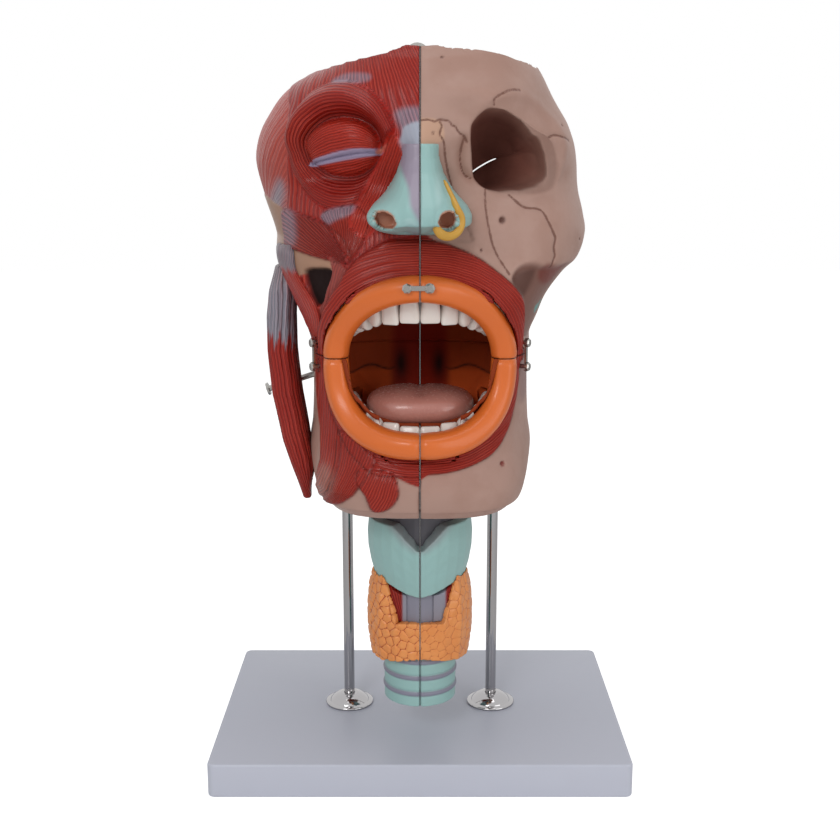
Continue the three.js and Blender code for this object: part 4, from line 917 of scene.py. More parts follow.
def trim_rim(points, side):
    """Levels the saw-edged rim of the open top, clear of the fasteners in the middle."""
    count, step, floor = 141, 0.012, 494
    turn = np.arctan2(points[:, 0] * side, -points[:, 1])
    bins = np.clip((turn / step).astype(int), 0, count - 1)
    highest = np.full(count, 400.0)
    near = points[:, 2] > floor
    np.maximum.at(highest, bins[near], points[near, 2])
    lowest = np.array([highest[max(0, b - 3):b + 4].min() for b in range(count)])
    even = np.array([lowest[max(0, b - 5):b + 6].mean() for b in range(count)])
    cap = np.interp(turn / step - 0.5, np.arange(count), even) + 6 * smooth_step(points[:, 0] * side, 20, 15)
    cap = cap + 6 * smooth_step(cap, 503, 498)
    points[:, 2] = np.where(near & (cap > floor), np.minimum(points[:, 2], cap), points[:, 2])


def unbroken(obj, fibre, points):
    """0 where two neighbouring points belong to different muscles, so that no strands are drawn between them."""
    a, b = edges_of(obj)
    jump = np.abs(fibre[a] - fibre[b]) > 2.4 * np.linalg.norm(points[a] - points[b], axis=1) + 0.3
    whole = np.ones(len(points))
    whole[a[jump]] = 0
    whole[b[jump]] = 0
    return whole


def shell_paint(points, side, outside, shown, cavity, socket):
    """The paint of a shell: its outside, its plain inside, the eye socket in painted shade that deepens inwards, and
    the mouth's lining.
    """
    inner = BONE * 0.8 if side == LEFT else MUSCLE_INSIDE
    paint = inner + shown[:, None] * (outside - inner)
    if socket:
        rho, depth = socket
        inside = smooth_step(rho, 1.04, 0.93) * smooth_step(depth, 0.2, 6) * (depth < 60)
        # Painted shade: darker the deeper into the socket
        deep = smooth_step(depth, 2, 30)
        tone = SOCKET_SHADE + deep[:, None] * (DEEP_SOCKET_SHADE - SOCKET_SHADE)
        paint = paint + inside[:, None] * (tone - paint)
    return paint + cavity[:, None] * (cavity_paint(points, side) - paint)


def dress_shell(side, upper, voxel):
    """The fine skin of one quarter of the head and its mouth lining, with relief and paint."""
    word = quarter_word(side, upper)
    obj, points, free = smoothed(word + "_shell", voxel, 4, word + "_lining", True)
    if upper:
        relax(obj, 36, free * smooth_step(points[:, 2], 492, 499)[:, None])
    points = points_of(obj)
    lining = hit_tree(frame["nodes"][word + "_lining"])
    x, y, z, forward, reach, turn = round_axis(points, side)
    cad = COMMON_SWELLS + (SKULL_SWELLS if side == LEFT else MUSCLE_SWELLS)
    fine = [s for s in cad if s is not EYE_SWELL] + ([SKULL_TRIM] if side == LEFT else [])
    out = np.stack([points[:, 0], forward, np.zeros(len(x))], 1) / np.maximum(reach, 1e-6)[:, None]
    guess = head_radius(side, turn, z, cad)
    outer = outer_reach(obj, points, out, reach, guess)
    mouth = oval(x, z, 53, 48, 2.2 if upper else 2.7)
    if upper:
        allowed = 8 * smooth_step(mouth, 1.6, 1.4) * smooth_step(z, 330, 336)
    else:
        allowed = 10 * smooth_step(z, 296, 286)
    allowed = allowed + 5
    inset = np.clip(reach - outer, -5, 0)
    skin = smooth_step(reach - outer, -5.0, -2.6) * smooth_step(np.abs(outer - guess) - allowed, 3, 0)
    skin *= smooth_step(mouth, 0.97, 1.03)
    socket = None
    if side == LEFT and upper:
        rho, depth = shape_socket(points, side, x, y, z, cad)
        skin *= smooth_step(rho, 0.93, 1.0)
        socket = rho, depth
        x, y, z, forward, reach, turn = round_axis(points, side)
    arc = turn * 110
    coat = COATS[side, upper](x, z, arc)
    strands = 0.26 * np.sin(2 * math.pi * coat.fibre / 5.2 + 2.2 * np.sin(z / 23) + 1.7 * np.sin(x / 17)) * coat.grain
    target = head_radius(side, turn, z, fine, 1.0) + coat.lift + strands
    nose = (z > 390) & (z < 452) & (x < 33 - 0.42 * (z - 392))
    target = np.where(nose, np.minimum(target, head_radius(side, turn, z, cad)), target)
    move = (target + inset - reach) * skin
    points[:, 0] += side * move * x / np.maximum(reach, 1)
    points[:, 1] += move * forward / np.maximum(reach, 1)
    crown = 3.0 * np.exp(-(((x - 35) / 25) ** 2)) if side == RIGHT else 5.5 * np.exp(-(((x - 50) / 28) ** 2))
    points[:, 2] += np.clip((z - 470) / 40, 0, 2) * crown
    if upper:
        trim_rim(points, side)
    else:
        closed = np.maximum(z - 1.85 * smooth_step(z, 224, 214.9), GROOVE_LOW)
        points[:, 2] = np.where(z > GROOVE_HIGH, closed, points[:, 2])
    place(obj, points)
    shown = np.maximum(skin, (mouth > 1.03) & (mouth < 1.4) & (y < -95))
    cavity = ((mouth < 1.03) & (y < -60)).astype(float)
    for k in np.flatnonzero((shown < 0.5) & (cavity < 1) & (np.abs(x) < 72) & (np.abs(z - 306) < 75)):
        hit = lining.find_nearest(points[k] * MM, 1.6 * MM)
        cavity[k] = hit[0] is not None
    coat.colour = shell_paint(points, side, coat.colour, shown, cavity, socket)
    coat.grain = coat.grain * skin * unbroken(obj, coat.fibre, points)
    coat.line = np.where(skin < 0.5, NO_LINE, coat.line)
    store_coat(obj, coat)
    store(obj, "matte", np.maximum(np.maximum(cavity, coat.matte), 1 - skin))
    return obj


# Shader groups and materials

NUMBER, VECTOR = "NodeSocketFloat", "NodeSocketVector"


def shader_group(name, inputs, outputs):
    """An empty node group with these sockets, and its two end nodes."""
    group = bpy.data.node_groups.new(name, "ShaderNodeTree")
    for label, kind, value in inputs:
        socket = group.interface.new_socket(name=label, in_out="INPUT", socket_type=kind)
        if value is not None:
            socket.default_value = value
    for label, kind in outputs:
        group.interface.new_socket(name=label, in_out="OUTPUT", socket_type=kind)
    return group, group.nodes.new("NodeGroupInput"), group.nodes.new("NodeGroupOutput")


def feed(tree, value, socket):
    """Sets a socket to a number or a colour, or wires another socket to it."""
    if isinstance(value, bpy.types.NodeSocket):
        tree.links.new(value, socket)
    else:
        socket.default_value = value if isinstance(value, (int, float)) else (*value, 1)


def add_node(tree, kind, inputs, **settings):
    """A shader node with its settings, and with values or wires for its inputs."""
    node = tree.nodes.new("ShaderNode" + kind)
    for name, value in settings.items():
        setattr(node, name, value)
    for key, value in inputs.items():
        if value is not None:
            feed(tree, value, node.inputs[key])
    return node


def math_node(tree, kind, first, second=None, clamp=False):
    return add_node(tree, "Math", {0: first, 1: second}, operation=kind, use_clamp=clamp).outputs[0]


def multiply(tree, first, second, clamp=False):
    return math_node(tree, "MULTIPLY", first, second, clamp)


def plus(tree, first, second, clamp=False):
    return math_node(tree, "ADD", first, second, clamp)


def minus(tree, first, second):
    return math_node(tree, "SUBTRACT", first, second)


def noise_node(tree, vector, scale, detail=3.0, roughness=0.5):
    inputs = {"Detail": detail, "Roughness": roughness, "Scale": scale, "Vector": vector}
    return add_node(tree, "TexNoise", inputs).outputs["Fac"]


def ramp(tree, value, low, high):
    inputs = {"From Min": low, "From Max": high, "Value": value}
    return add_node(tree, "MapRange", inputs, interpolation_type="SMOOTHSTEP").outputs["Result"]


def mix_colour(tree, share, first, second, kind="MIX"):
    """Mixes two colours. The node's sockets 0, 6 and 7 are its share and its two colours."""
    return add_node(tree, "Mix", {0: share, 6: first, 7: second}, data_type="RGBA", blend_type=kind).outputs[2]


def strand_group():
    """Muscle strands: a ridge height, and a share of painted highlight for the ridges, from a stored fibre
    coordinate.
    """
    group, start, end = shader_group(
        "Muscle strands",
        [("Fibre", NUMBER, 0), ("Grain", NUMBER, 1), ("Spacing", NUMBER, 2.2), ("Vector", VECTOR, None)],
        [("Height", NUMBER), ("Tint", NUMBER)],
    )
    wander = noise_node(group, start.outputs["Vector"], 38, 3)
    fine = noise_node(group, start.outputs["Vector"], 150, 2)
    turns = math_node(group, "DIVIDE", start.outputs["Fibre"], start.outputs["Spacing"])
    turns = plus(group, turns, multiply(group, wander, 1.6))
    wave = math_node(group, "SINE", multiply(group, turns, 2 * math.pi))
    ridge = multiply(group, plus(group, wave, 1.0), 0.5)
    double = plus(group, multiply(group, turns, 2.31), multiply(group, fine, 0.9))
    thin = math_node(group, "SINE", multiply(group, double, 2 * math.pi))
    thin = multiply(group, plus(group, thin, 1.0), 0.5)
    both = plus(group, multiply(group, ridge, 0.7), multiply(group, thin, 0.3))
    height = multiply(group, both, start.outputs["Grain"])
    feed(group, height, end.inputs["Height"])
    patch = ramp(group, noise_node(group, start.outputs["Vector"], 22, 2), 0.42, 0.62)
    # Share of painted highlight: strongest on the ridge tops, in patches
    tint = multiply(group, math_node(group, "POWER", both, 2.2), math_node(group, "MULTIPLY_ADD", patch, 0.75))
    feed(group, multiply(group, tint, start.outputs["Grain"]), end.inputs["Tint"])
    return group


def mottle_group():
    """Soft patches and fine specks of hand-painted plastic."""
    group, start, end = shader_group(
        "Painted mottle",
        [("Vector", VECTOR, None), ("Scale", NUMBER, 30)],
        [("Patch", NUMBER), ("Speck", NUMBER)],
    )
    soft = noise_node(group, start.outputs["Vector"], start.outputs["Scale"], 4, 0.6)
    feed(group, ramp(group, soft, 0.35, 0.68), end.inputs["Patch"])
    scale = multiply(group, start.outputs["Scale"], 9.0)
    feed(group, noise_node(group, start.outputs["Vector"], scale, 3, 0.6), end.inputs["Speck"])
    return group


def dark_line_group():
    """A thin wandering line from a stored distance: a suture on bone, and painted shade along a crease on muscle."""
    group, start, end = shader_group(
        "Suture line",
        [("Distance", NUMBER, 30), ("Vector", VECTOR, None)],
        [("Mask", NUMBER)],
    )
    wander = minus(group, noise_node(group, start.outputs["Vector"], 300, 2), 0.5)
    away = plus(group, start.outputs["Distance"], multiply(group, wander, 0.9))
    feed(group, ramp(group, away, 1.05, 0.25), end.inputs["Mask"])
    return group


def seam_group():
    """The dark line of the cuts through the head: upright in the middle, and level at the mouth corners."""
    group, start, end = shader_group(
        "Seam line",
        [("Vector", VECTOR, None), ("Normal", VECTOR, None), ("Level", NUMBER, 1)],
        [("Mask", NUMBER)],
    )
    spots = add_node(group, "SeparateXYZ", {0: start.outputs["Vector"]})
    facing = add_node(group, "SeparateXYZ", {0: start.outputs["Normal"]})
    masks = []
    for axis, centre, width in (("X", 0.0, 0.75), ("Z", SEAM * MM, 0.6)):
        away = math_node(group, "ABSOLUTE", minus(group, spots.outputs[axis], centre))
        side = math_node(group, "ABSOLUTE", facing.outputs[axis])
        near, open_side = ramp(group, away, width * MM, 0.3 * width * MM), ramp(group, side, 0.92, 0.75)
        masks.append(multiply(group, near, open_side))
    level = multiply(group, masks[1], start.outputs["Level"])
    feed(group, math_node(group, "MAXIMUM", masks[0], level), end.inputs["Mask"])
    return group


GROUPS = {}


def use_group(tree, name, **values):
    makers = {"strands": strand_group, "mottle": mottle_group, "dark_line": dark_line_group, "seam": seam_group}
    if name not in GROUPS:
        GROUPS[name] = makers[name]()
    return add_node(tree, "Group", values, node_tree=GROUPS[name]).outputs


def new_material(name, roughness, specular, coat=0.0, metallic=0.0):
    """A material, its node tree, its main shader and its object coordinates."""
    material = bpy.data.materials.new(name)
    material.use_nodes = True
    tree = material.node_tree
    shader = tree.nodes["Principled BSDF"]
    values = {"Roughness": roughness, "Metallic": metallic, "Coat Weight": coat, "Specular IOR Level": specular}
    for key, value in values.items():
        shader.inputs[key].default_value = value
    shader.inputs["Coat Roughness"].default_value = 0.18
    return material, tree, shader, add_node(tree, "TexCoord", {}).outputs["Object"]


def seam_shade(tree, vector, colour, level=1.0):
    """Lays the seam's dark line over a colour."""
    mask = use_group(tree, "seam", Vector=vector, Normal=vector.node.outputs["Normal"], Level=level)["Mask"]
    return mix_colour(tree, multiply(tree, mask, 0.93), colour, tuple(linear(30, 16, 14))), mask


def add_bump(tree, shader, height, distance):
    node = add_node(tree, "Bump", {"Distance": distance * MM, "Height": height})
    feed(tree, node.outputs["Normal"], shader.inputs["Normal"])


def stored(tree, name, colour=False):
    return add_node(tree, "Attribute", {}, attribute_name=name).outputs["Color" if colour else "Fac"]


def painted_material(
        name, roughness, coat, spacing, contrast, mottle, dark_line, dark_line_share=0.8, level=1.0, relief=0.55):
    """Hand-painted plastic that follows the paint, fibres and dark lines stored on a mesh, with painted shade in the
    grooves between strands and a painted highlight on their ridges.
    """
    material, tree, shader, vector = new_material(name, roughness, 0.2, coat)
    paint = stored(tree, "paint", True)
    fibre, grain = stored(tree, "fibre"), stored(tree, "grain")
    strands = use_group(tree, "strands", Fibre=fibre, Grain=grain, Spacing=spacing, Vector=vector)
    spots = use_group(tree, "mottle", Vector=vector, Scale=34.0)
    # Painted shade in the grooves between the strands
    dark = mix_colour(tree, 1.0, paint, (0.42, 0.34, 0.35), "MULTIPLY")
    low = multiply(tree, minus(tree, stored(tree, "grain"), strands["Height"]), contrast, True)
    colour = mix_colour(tree, low, paint, dark)
    # Painted highlight on the ridges of the strands
    light = mix_colour(tree, 0.24, colour, tuple(linear(226, 104, 78)))
    colour = mix_colour(tree, multiply(tree, strands["Tint"], 1.1, True), colour, light)
    warm = mix_colour(tree, 1.0, colour, (0.86, 0.80, 0.77), "MULTIPLY")
    colour = mix_colour(tree, multiply(tree, spots["Patch"], mottle * 2), colour, warm)
    # Dark lines: sutures on bone, and painted shade along the creases of muscles
    dark_lines = use_group(tree, "dark_line", Distance=stored(tree, "line"), Vector=vector)
    colour = mix_colour(tree, multiply(tree, dark_lines["Mask"], dark_line_share), colour, tuple(linear(*dark_line)))
    matte = stored(tree, "matte")
    open_skin = multiply(tree, minus(tree, 1.0, matte), level)
    colour, seam = seam_shade(tree, vector, colour, open_skin)
    feed(tree, colour, shader.inputs["Base Color"])
    rough = math_node(tree, "MULTIPLY_ADD", spots["Speck"], 0.22)
    rough.node.inputs[2].default_value = roughness - 0.11
    rough = plus(tree, rough, multiply(tree, matte, 0.5), True)
    feed(tree, rough, shader.inputs["Roughness"])
    shine = multiply(tree, minus(tree, 1.0, matte), coat)
    feed(tree, shine, shader.inputs["Coat Weight"])
    height = plus(tree, multiply(tree, strands["Height"], 1.0), multiply(tree, spots["Speck"], 0.12))
    height = minus(tree, height, multiply(tree, dark_lines["Mask"], 0.6))
    height = minus(tree, height, seam)
    add_bump(tree, shader, height, relief)
    return material


def plain_material(name, colour, roughness, coat, metallic, scale, patch, relief, tint=(0.84, 0.78, 0.76), seam=True):
    """Moulded plastic or metal in one colour, with soft patches and a fine skin."""
    material, tree, shader, vector = new_material(name, roughness, 0.5 if metallic else 0.3, coat, metallic)
    spots = use_group(tree, "mottle", Vector=vector, Scale=scale)
    base = add_node(tree, "RGB", {})
    base.outputs[0].default_value = (*colour, 1)
    warm = mix_colour(tree, 1.0, base.outputs[0], tint, "MULTIPLY")
    shown = mix_colour(tree, multiply(tree, spots["Patch"], patch), base.outputs[0], warm)
    if seam:
        shown, _ = seam_shade(tree, vector, shown)
    feed(tree, shown, shader.inputs["Base Color"])
    rough = math_node(tree, "MULTIPLY_ADD", spots["Speck"], roughness * 0.5)
    rough.node.inputs[2].default_value = roughness * 0.75
    feed(tree, rough, shader.inputs["Roughness"])
    if relief:
        add_bump(tree, shader, spots["Speck"], relief)
    return material


def cobble_material(name, body, dark_line, roughness):
    """Glossy cobbles with dark lines between them, from a stored distance to the nearest line."""
    material, tree, shader, vector = new_material(name, roughness, 0.25, 0.2)
    spots = use_group(tree, "mottle", Vector=vector, Scale=90.0)
    darker = tuple(body * np.array([0.9, 0.76, 0.62]))
    warm = mix_colour(tree, multiply(tree, spots["Patch"], 0.5), tuple(body), darker)
    lines = plus(tree, stored(tree, "line"), multiply(tree, spots["Speck"], 0.7))
    lines = ramp(tree, lines, 1.15, 0.5)
    lines = multiply(tree, lines, stored(tree, "grain"))
    shown, _ = seam_shade(tree, vector, mix_colour(tree, lines, warm, tuple(dark_line)))
    feed(tree, shown, shader.inputs["Base Color"])
    add_bump(tree, shader, spots["Speck"], 0.08)
    return material


# Hand-painted finishes: name, roughness, coat, fibre spacing, strand contrast, mottle, colour of the dark lines
# along sutures and creases (along creases they are painted shade), their share, how far the level seam shows,
# and relief
# Plain finishes: name, colour, roughness, coat, metallic, scale and share of the patches, relief, tint of the
# patches, and whether the seams cross it
FINISHES = {
    # The muscle's dark line colour is painted shade in the creases between muscles
    "muscle": (painted_material, "Muscle paint", 0.36, 0.1, 1.75, 0.8, 0.16, (70, 10, 8), 0.45),
    "skull": (painted_material, "Skull paint", 0.5, 0.05, 1.6, 0.6, 0.34, (104, 66, 54)),
    "masseter": (painted_material, "Masseter paint", 0.36, 0.12, 1.7, 0.85, 0.16, (60, 20, 18), 0.45, 0.0, 0.7),
    "nose": (painted_material, "Nose cartilage paint", 0.4, 0.12, 2.2, 0.5, 0.1, (70, 70, 76)),
    "lip": (plain_material, "Lip plastic", linear(216, 108, 44), 0.36, 0.2, 0, 30, 0.22, 0.05, (0.93, 0.84, 0.76)),
    "gum": (plain_material, "Gum plastic", linear(112, 44, 32), 0.4, 0.2, 0, 60, 0.4, 0.1),
    "tooth": (
        plain_material, "Tooth enamel", linear(224, 217, 211), 0.22, 0.4, 0, 60, 0.25, 0.03, (0.93, 0.9, 0.82)),
    "tongue": (
        plain_material, "Tongue plastic", linear(186, 128, 116), 0.26, 0.4, 0, 55, 0.5, 0.2, (0.88, 0.76, 0.74),
        False),
    "lilac": (
        plain_material, "Membrane plastic", linear(134, 133, 146), 0.45, 0.1, 0, 30, 0.35, 0.08, (0.86, 0.84, 0.88)),
    "membrane": (
        plain_material, "Dark membrane plastic", linear(98, 97, 103), 0.5, 0.05, 0, 30, 0.35, 0.08,
        (0.86, 0.84, 0.88)),
    "ring": (plain_material, "Alar ring plastic", OCHRE, 0.42, 0.1, 0, 60, 0.4, 0.1, (0.9, 0.8, 0.66)),
    "gland": (cobble_material, "Gland plastic", linear(228, 148, 84), linear(150, 50, 22), 0.34),
    "board": (
        plain_material, "Board laminate", linear(193, 196, 209), 0.36, 0.1, 0, 18, 0.12, 0.02, (0.95, 0.95, 0.96),
        False),
    "chrome": (
        plain_material, "Chromed tube", linear(176, 174, 175), 0.1, 0, 1.0, 60, 0.1, 0.004, (0.9, 0.9, 0.9), False),
    "steel": (
        plain_material, "Bright steel", linear(168, 166, 162), 0.24, 0, 1.0, 120, 0.3, 0.02, (0.8, 0.8, 0.8), False),
}
MATERIALS = {}


def material(name):
    """A named finish of this model, made when it is first asked for."""
    if name not in MATERIALS:
        maker, *values = FINISHES[name]
        MATERIALS[name] = maker(*values)
    return MATERIALS[name]


# Sizes and colours that a user may change

class HeadModelSettings(bpy.types.PropertyGroup):
    """Sizes and lights of the head model."""

    skin_detail: bpy.props.FloatProperty(
        name="Skin detail", description="Spacing of the points on the shells",
        default=1.15 * MM, min=0.0006, unit="LENGTH")
    piece_detail: bpy.props.FloatProperty(
        name="Piece detail", description="Spacing of the points on the smaller pieces",
        default=0.8 * MM, min=0.0004, unit="LENGTH")
    floor_colour: bpy.props.FloatVectorProperty(
        name="Floor colour", description="Colour of the floor and backdrop",
        default=(0.9, 0.9, 0.9), subtype="COLOR", size=3)
    key_power: bpy.props.FloatProperty(
        name="Key light", description="Power of the main soft light", default=10.0, min=0.0, unit="POWER")
    fill_power: bpy.props.FloatProperty(
        name="Fill light", description="Power of the second soft light", default=5.2, min=0.0, unit="POWER")
    top_power: bpy.props.FloatProperty(
        name="Top light", description="Power of the light from above", default=4.5, min=0.0, unit="POWER")
    lens: bpy.props.FloatProperty(
        name="Lens", description="Focal length of the camera in millimetres", default=53.57, min=10.0)


class HEAD_OT_shells(bpy.types.Operator):
    """Model the four shells of the head with their relief and paint"""

    bl_idname = "headmodel.shells"
    bl_label = "Head shells"

    def execute(self, context):
        voxel = context.scene.head_model.skin_detail / MM
        for side, upper in QUARTERS:
            word = quarter_word(side, upper)
            obj = dress_shell(side, upper, voxel)
            obj.name = word + "_skin"
            finish, slot = ("skull", "skull_bone") if side == LEFT else ("muscle", "muscle_red")
            nodes = [word + "_shell", word + "_lining"]
            finish_piece(obj, body_name(side, upper), nodes, finish)
        return {"FINISHED"}


def lip_rings(side, upper):
    """Rings of a quarter of the lips, from the mouth corner to the middle."""
    sign = 1 if upper else -1
    if upper:
        curve, high = UPPER_LIP_CURVE, LIP_HIGH - UPPER_LIP_DROP
    else:
        curve, high = LOWER_LIP_CURVE, LIP_HIGH + LOWER_LIP_DROP
    last = math.acos((SEAM_X / LIP_WIDE) ** (1 / curve))
    turns = np.linspace(0, last, 44)
    angle = full_turn(36)
    rings = []
    for k, turn in enumerate(turns):
        c, s = math.cos(turn), math.sin(turn)
        x, z = LIP_WIDE * c**curve, high * s**curve
        out = np.array([c / LIP_WIDE, 0, s / high])
        out = out / np.linalg.norm(out)
        centre = np.array([x, -LIP_FRONT + LIP_BEND * (x / LIP_WIDE) ** 2, z])
        scale = end_scale(k, len(turns), 0.94, 0.985)
        u = rounded(np.cos(angle), 0.62) * LIP_RADIUS * scale
        v = rounded(np.sin(angle), 0.66) * LIP_DEEP * scale
        u = u * (1 - 0.16 * smooth_step(-v, 0.2 * LIP_DEEP, LIP_DEEP))
        ring = centre + u[:, None] * out + v[:, None] * np.array([0, 1, 0])
        ring[:, 0] = np.maximum(ring[:, 0], SEAM_X)
        ring[:, 2] = np.maximum(ring[:, 2], SEAM_Z)
        ring[:, 0] *= side
        ring[:, 2] = SEAM + sign * ring[:, 2]
        rings.append(ring)
    return rings


class HEAD_OT_lips(bpy.types.Operator):
    """Model the four quarters of the lips"""

    bl_idname = "headmodel.lips"
    bl_label = "Lips"

    def execute(self, context):
        for side, upper in QUARTERS:
            word = quarter_word(side, upper)
            obj = loft(word + "_lip_piece", lip_rings(side, upper))
            finish_piece(obj, body_name(side, upper), [word + "_lip"], "lip")
        return {"FINISHED"}


def arch_station(turn):
    """The place of the tooth row at a turn from the middle, and the way outwards there."""
    spare = max(0.0, turn - math.pi / 2)
    c, s = math.cos(turn - spare), math.sin(turn - spare)
    x = ARCH_WIDE * math.copysign(abs(s) ** ARCH_CURVE, s)
    y = -ARCH_CENTRE - ARCH_REACH * abs(c) ** ARCH_CURVE + ARCH_REACH * spare
    out = np.array([s / ARCH_WIDE, -c / ARCH_REACH, 0])
    return np.array([x, y, 0]), out / np.linalg.norm(out)


def arch_turns(lengths):
    """The turns at which the tooth row has these lengths from the middle."""
    turns = np.linspace(0, math.pi / 2, 200)
    places = np.array([arch_station(t)[0] for t in turns])
    run = np.concatenate([[0], np.cumsum(np.linalg.norm(np.diff(places, axis=0), axis=1))])
    return np.interp(lengths, run, turns)


TOOTH_SHARES = [(0.16, 1), (0.145, 0.98), (0.13, 1), (0.125, 0.9), (0.13, 0.86), (0.16, 0.8), (0.15, 0.76)]
# Down a crown from its neck: place, width and thickness for front teeth, pointed teeth and back teeth
CROWNS = {
    "front": [
        (0, 0.78, 0.92), (0.2, 0.88, 1.0), (0.5, 0.97, 0.88), (0.75, 1.0, 0.66), (0.9, 0.98, 0.5),
        (0.97, 0.92, 0.4), (1, 0.8, 0.26),
    ],
    "pointed": [
        (0, 0.78, 0.95), (0.25, 0.92, 1.05), (0.55, 1.0, 1.0), (0.78, 0.86, 0.8), (0.9, 0.62, 0.6),
        (0.97, 0.38, 0.4), (1, 0.2, 0.22),
    ],
    "back": [
        (0, 0.82, 0.95), (0.25, 0.96, 1.08), (0.6, 1.0, 1.12), (0.82, 0.97, 1.08), (0.94, 0.86, 0.94),
        (0.99, 0.7, 0.74), (1, 0.45, 0.5),
    ],
}
TOOTH_KINDS = ["front", "front", "pointed", "back", "back", "back", "back"]


def tooth_rings(kind, width, thick, height):
    """A crown that stands on its neck at 0 and ends at height."""
    places, widths, thicks = np.array(CROWNS[kind]).T
    angle = full_turn(28)
    rings = []
    for t in np.concatenate([np.linspace(-0.25, 0.9, 12), [0.94, 0.97, 0.99, 1.0]]):
        w, d = np.interp(t, places, widths), np.interp(t, places, thicks)
        u = rounded(np.cos(angle), 0.6) * w * width / 2
        v = rounded(np.sin(angle), 0.7) * d * thick / 2
        cusp = 0.8 * np.cos(2 * angle) * (t > 0.8) if kind == "back" else 0
        rings.append(np.stack([u, v, np.full(len(angle), t * height) + cusp], 1))
    return rings


def row_dip(upper, turn):
    """How far the upper row hangs down at a turn."""
    return TOOTH_DIP * min(1, abs(turn) / (math.pi / 2)) ** DIP_CURVE if upper else 0.0


class HEAD_OT_teeth(bpy.types.Operator):
    """Model the teeth of each quarter one by one, and the gum that they stand in"""

    bl_idname = "headmodel.teeth"
    bl_label = "Teeth and gums"

    def execute(self, context):
        row = (math.pi / 2) * math.sqrt((ARCH_WIDE**2 + ARCH_REACH**2) / 2)
        for side, upper in QUARTERS:
            word = quarter_word(side, upper)
            self.row(word, side, upper, row)
            self.gum(word, side, upper)
        return {"FINISHED"}

    def row(self, word, side, upper, row):
        """The crowns of a quarter, side by side along a row of this length."""
        crowns, done = [], 0.0
        for (share, tall), kind in zip(TOOTH_SHARES, TOOTH_KINDS):
            width = share * row
            turn = float(arch_turns(done + width / 2 + SEAM_X))
            centre, out = arch_station(turn)
            done += width
            height = CROWN_HEIGHT * tall
            across = np.array([-out[1], out[0], 0])
            if upper:
                tip = UPPER_TIPS - row_dip(upper, turn)
            else:
                tip = LOWER_TIPS + LOWER_RISE * min(1, turn / 1.2) ** 1.5
            rings = []
            for ring in tooth_rings(kind, width * 0.985, 9.0, height):
                up = -(ring[:, 2] - height) if upper else ring[:, 2] - height
                world = centre + ring[:, :1] * across + ring[:, 1:2] * out
                world[:, 2] = tip + up
                world[:, 0] = np.maximum(world[:, 0], SEAM_X) * side
                rings.append(world)
            crowns.append(loft("crown", rings))
        obj = joined(word + "_crowns", crowns)
        finish_piece(obj, body_name(side, upper), [word + "_teeth"], "tooth")

    def gum(self, word, side, upper):
        """A rounded ridge that the crowns stand in."""
        level, sign = (356.5, 1) if upper else (256.5, -1)
        angle = full_turn(20)
        rings = []
        for turn in np.linspace(0.012, 1.68, 46):
            centre, out = arch_station(turn)
            scallop = 0.7 * math.cos(turn * 26)
            ring = centre + 5.6 * np.cos(angle)[:, None] * out
            ring[:, 2] = level + sign * 4 + (5.0 + scallop * 0.3) * np.sin(angle) - row_dip(upper, turn)
            ring[:, 0] = np.maximum(ring[:, 0], SEAM_X) * side
            rings.append(ring)
        obj = loft(word + "_gum", rings)
        finish_piece(obj, body_name(side, upper), [word + "_teeth"], "gum")


class HEAD_OT_tongue(bpy.types.Operator):
    """Model the tongue"""

    bl_idname = "headmodel.tongue"
    bl_label = "Tongue"

    def execute(self, context):
        angle = full_turn(56)
        rings = []
        centre_y, centre_z, floor = -76, 277.4, 265.6
        half_wide, half_deep, half_high = 36.5, 31, 12.8
        for x in 36.3 * np.sin(np.linspace(-0.985, 0.985, 61) * math.pi / 2):
            full = (1 - (abs(x) / half_wide) ** 2.5) ** (1 / 2.5)
            high = half_high * full ** 0.85
            y = centre_y + half_deep * full * rounded(np.cos(angle), 0.8)
            z = centre_z + high * rounded(np.sin(angle), 0.8)
            top = smooth_step(np.sin(angle), 0.2, 0.9)
            z = z - 1.3 * math.exp(-((x / 4.5) ** 2)) * top * smooth_step(y, -106, -92)
            z = z + 0.12 * np.sin(x * 2.1 + 1.3 * np.sin(y * 0.9)) * np.sin(y * 2.3 + 1.1 * math.sin(x)) * top
            rings.append(np.stack([np.full(len(angle), x), y, np.maximum(z, floor)], 1))
        obj = loft("tongue_body", rings)
        finish_piece(obj, body_name(LEFT, False), ["tongue"], "tongue")
        return {"FINISHED"}


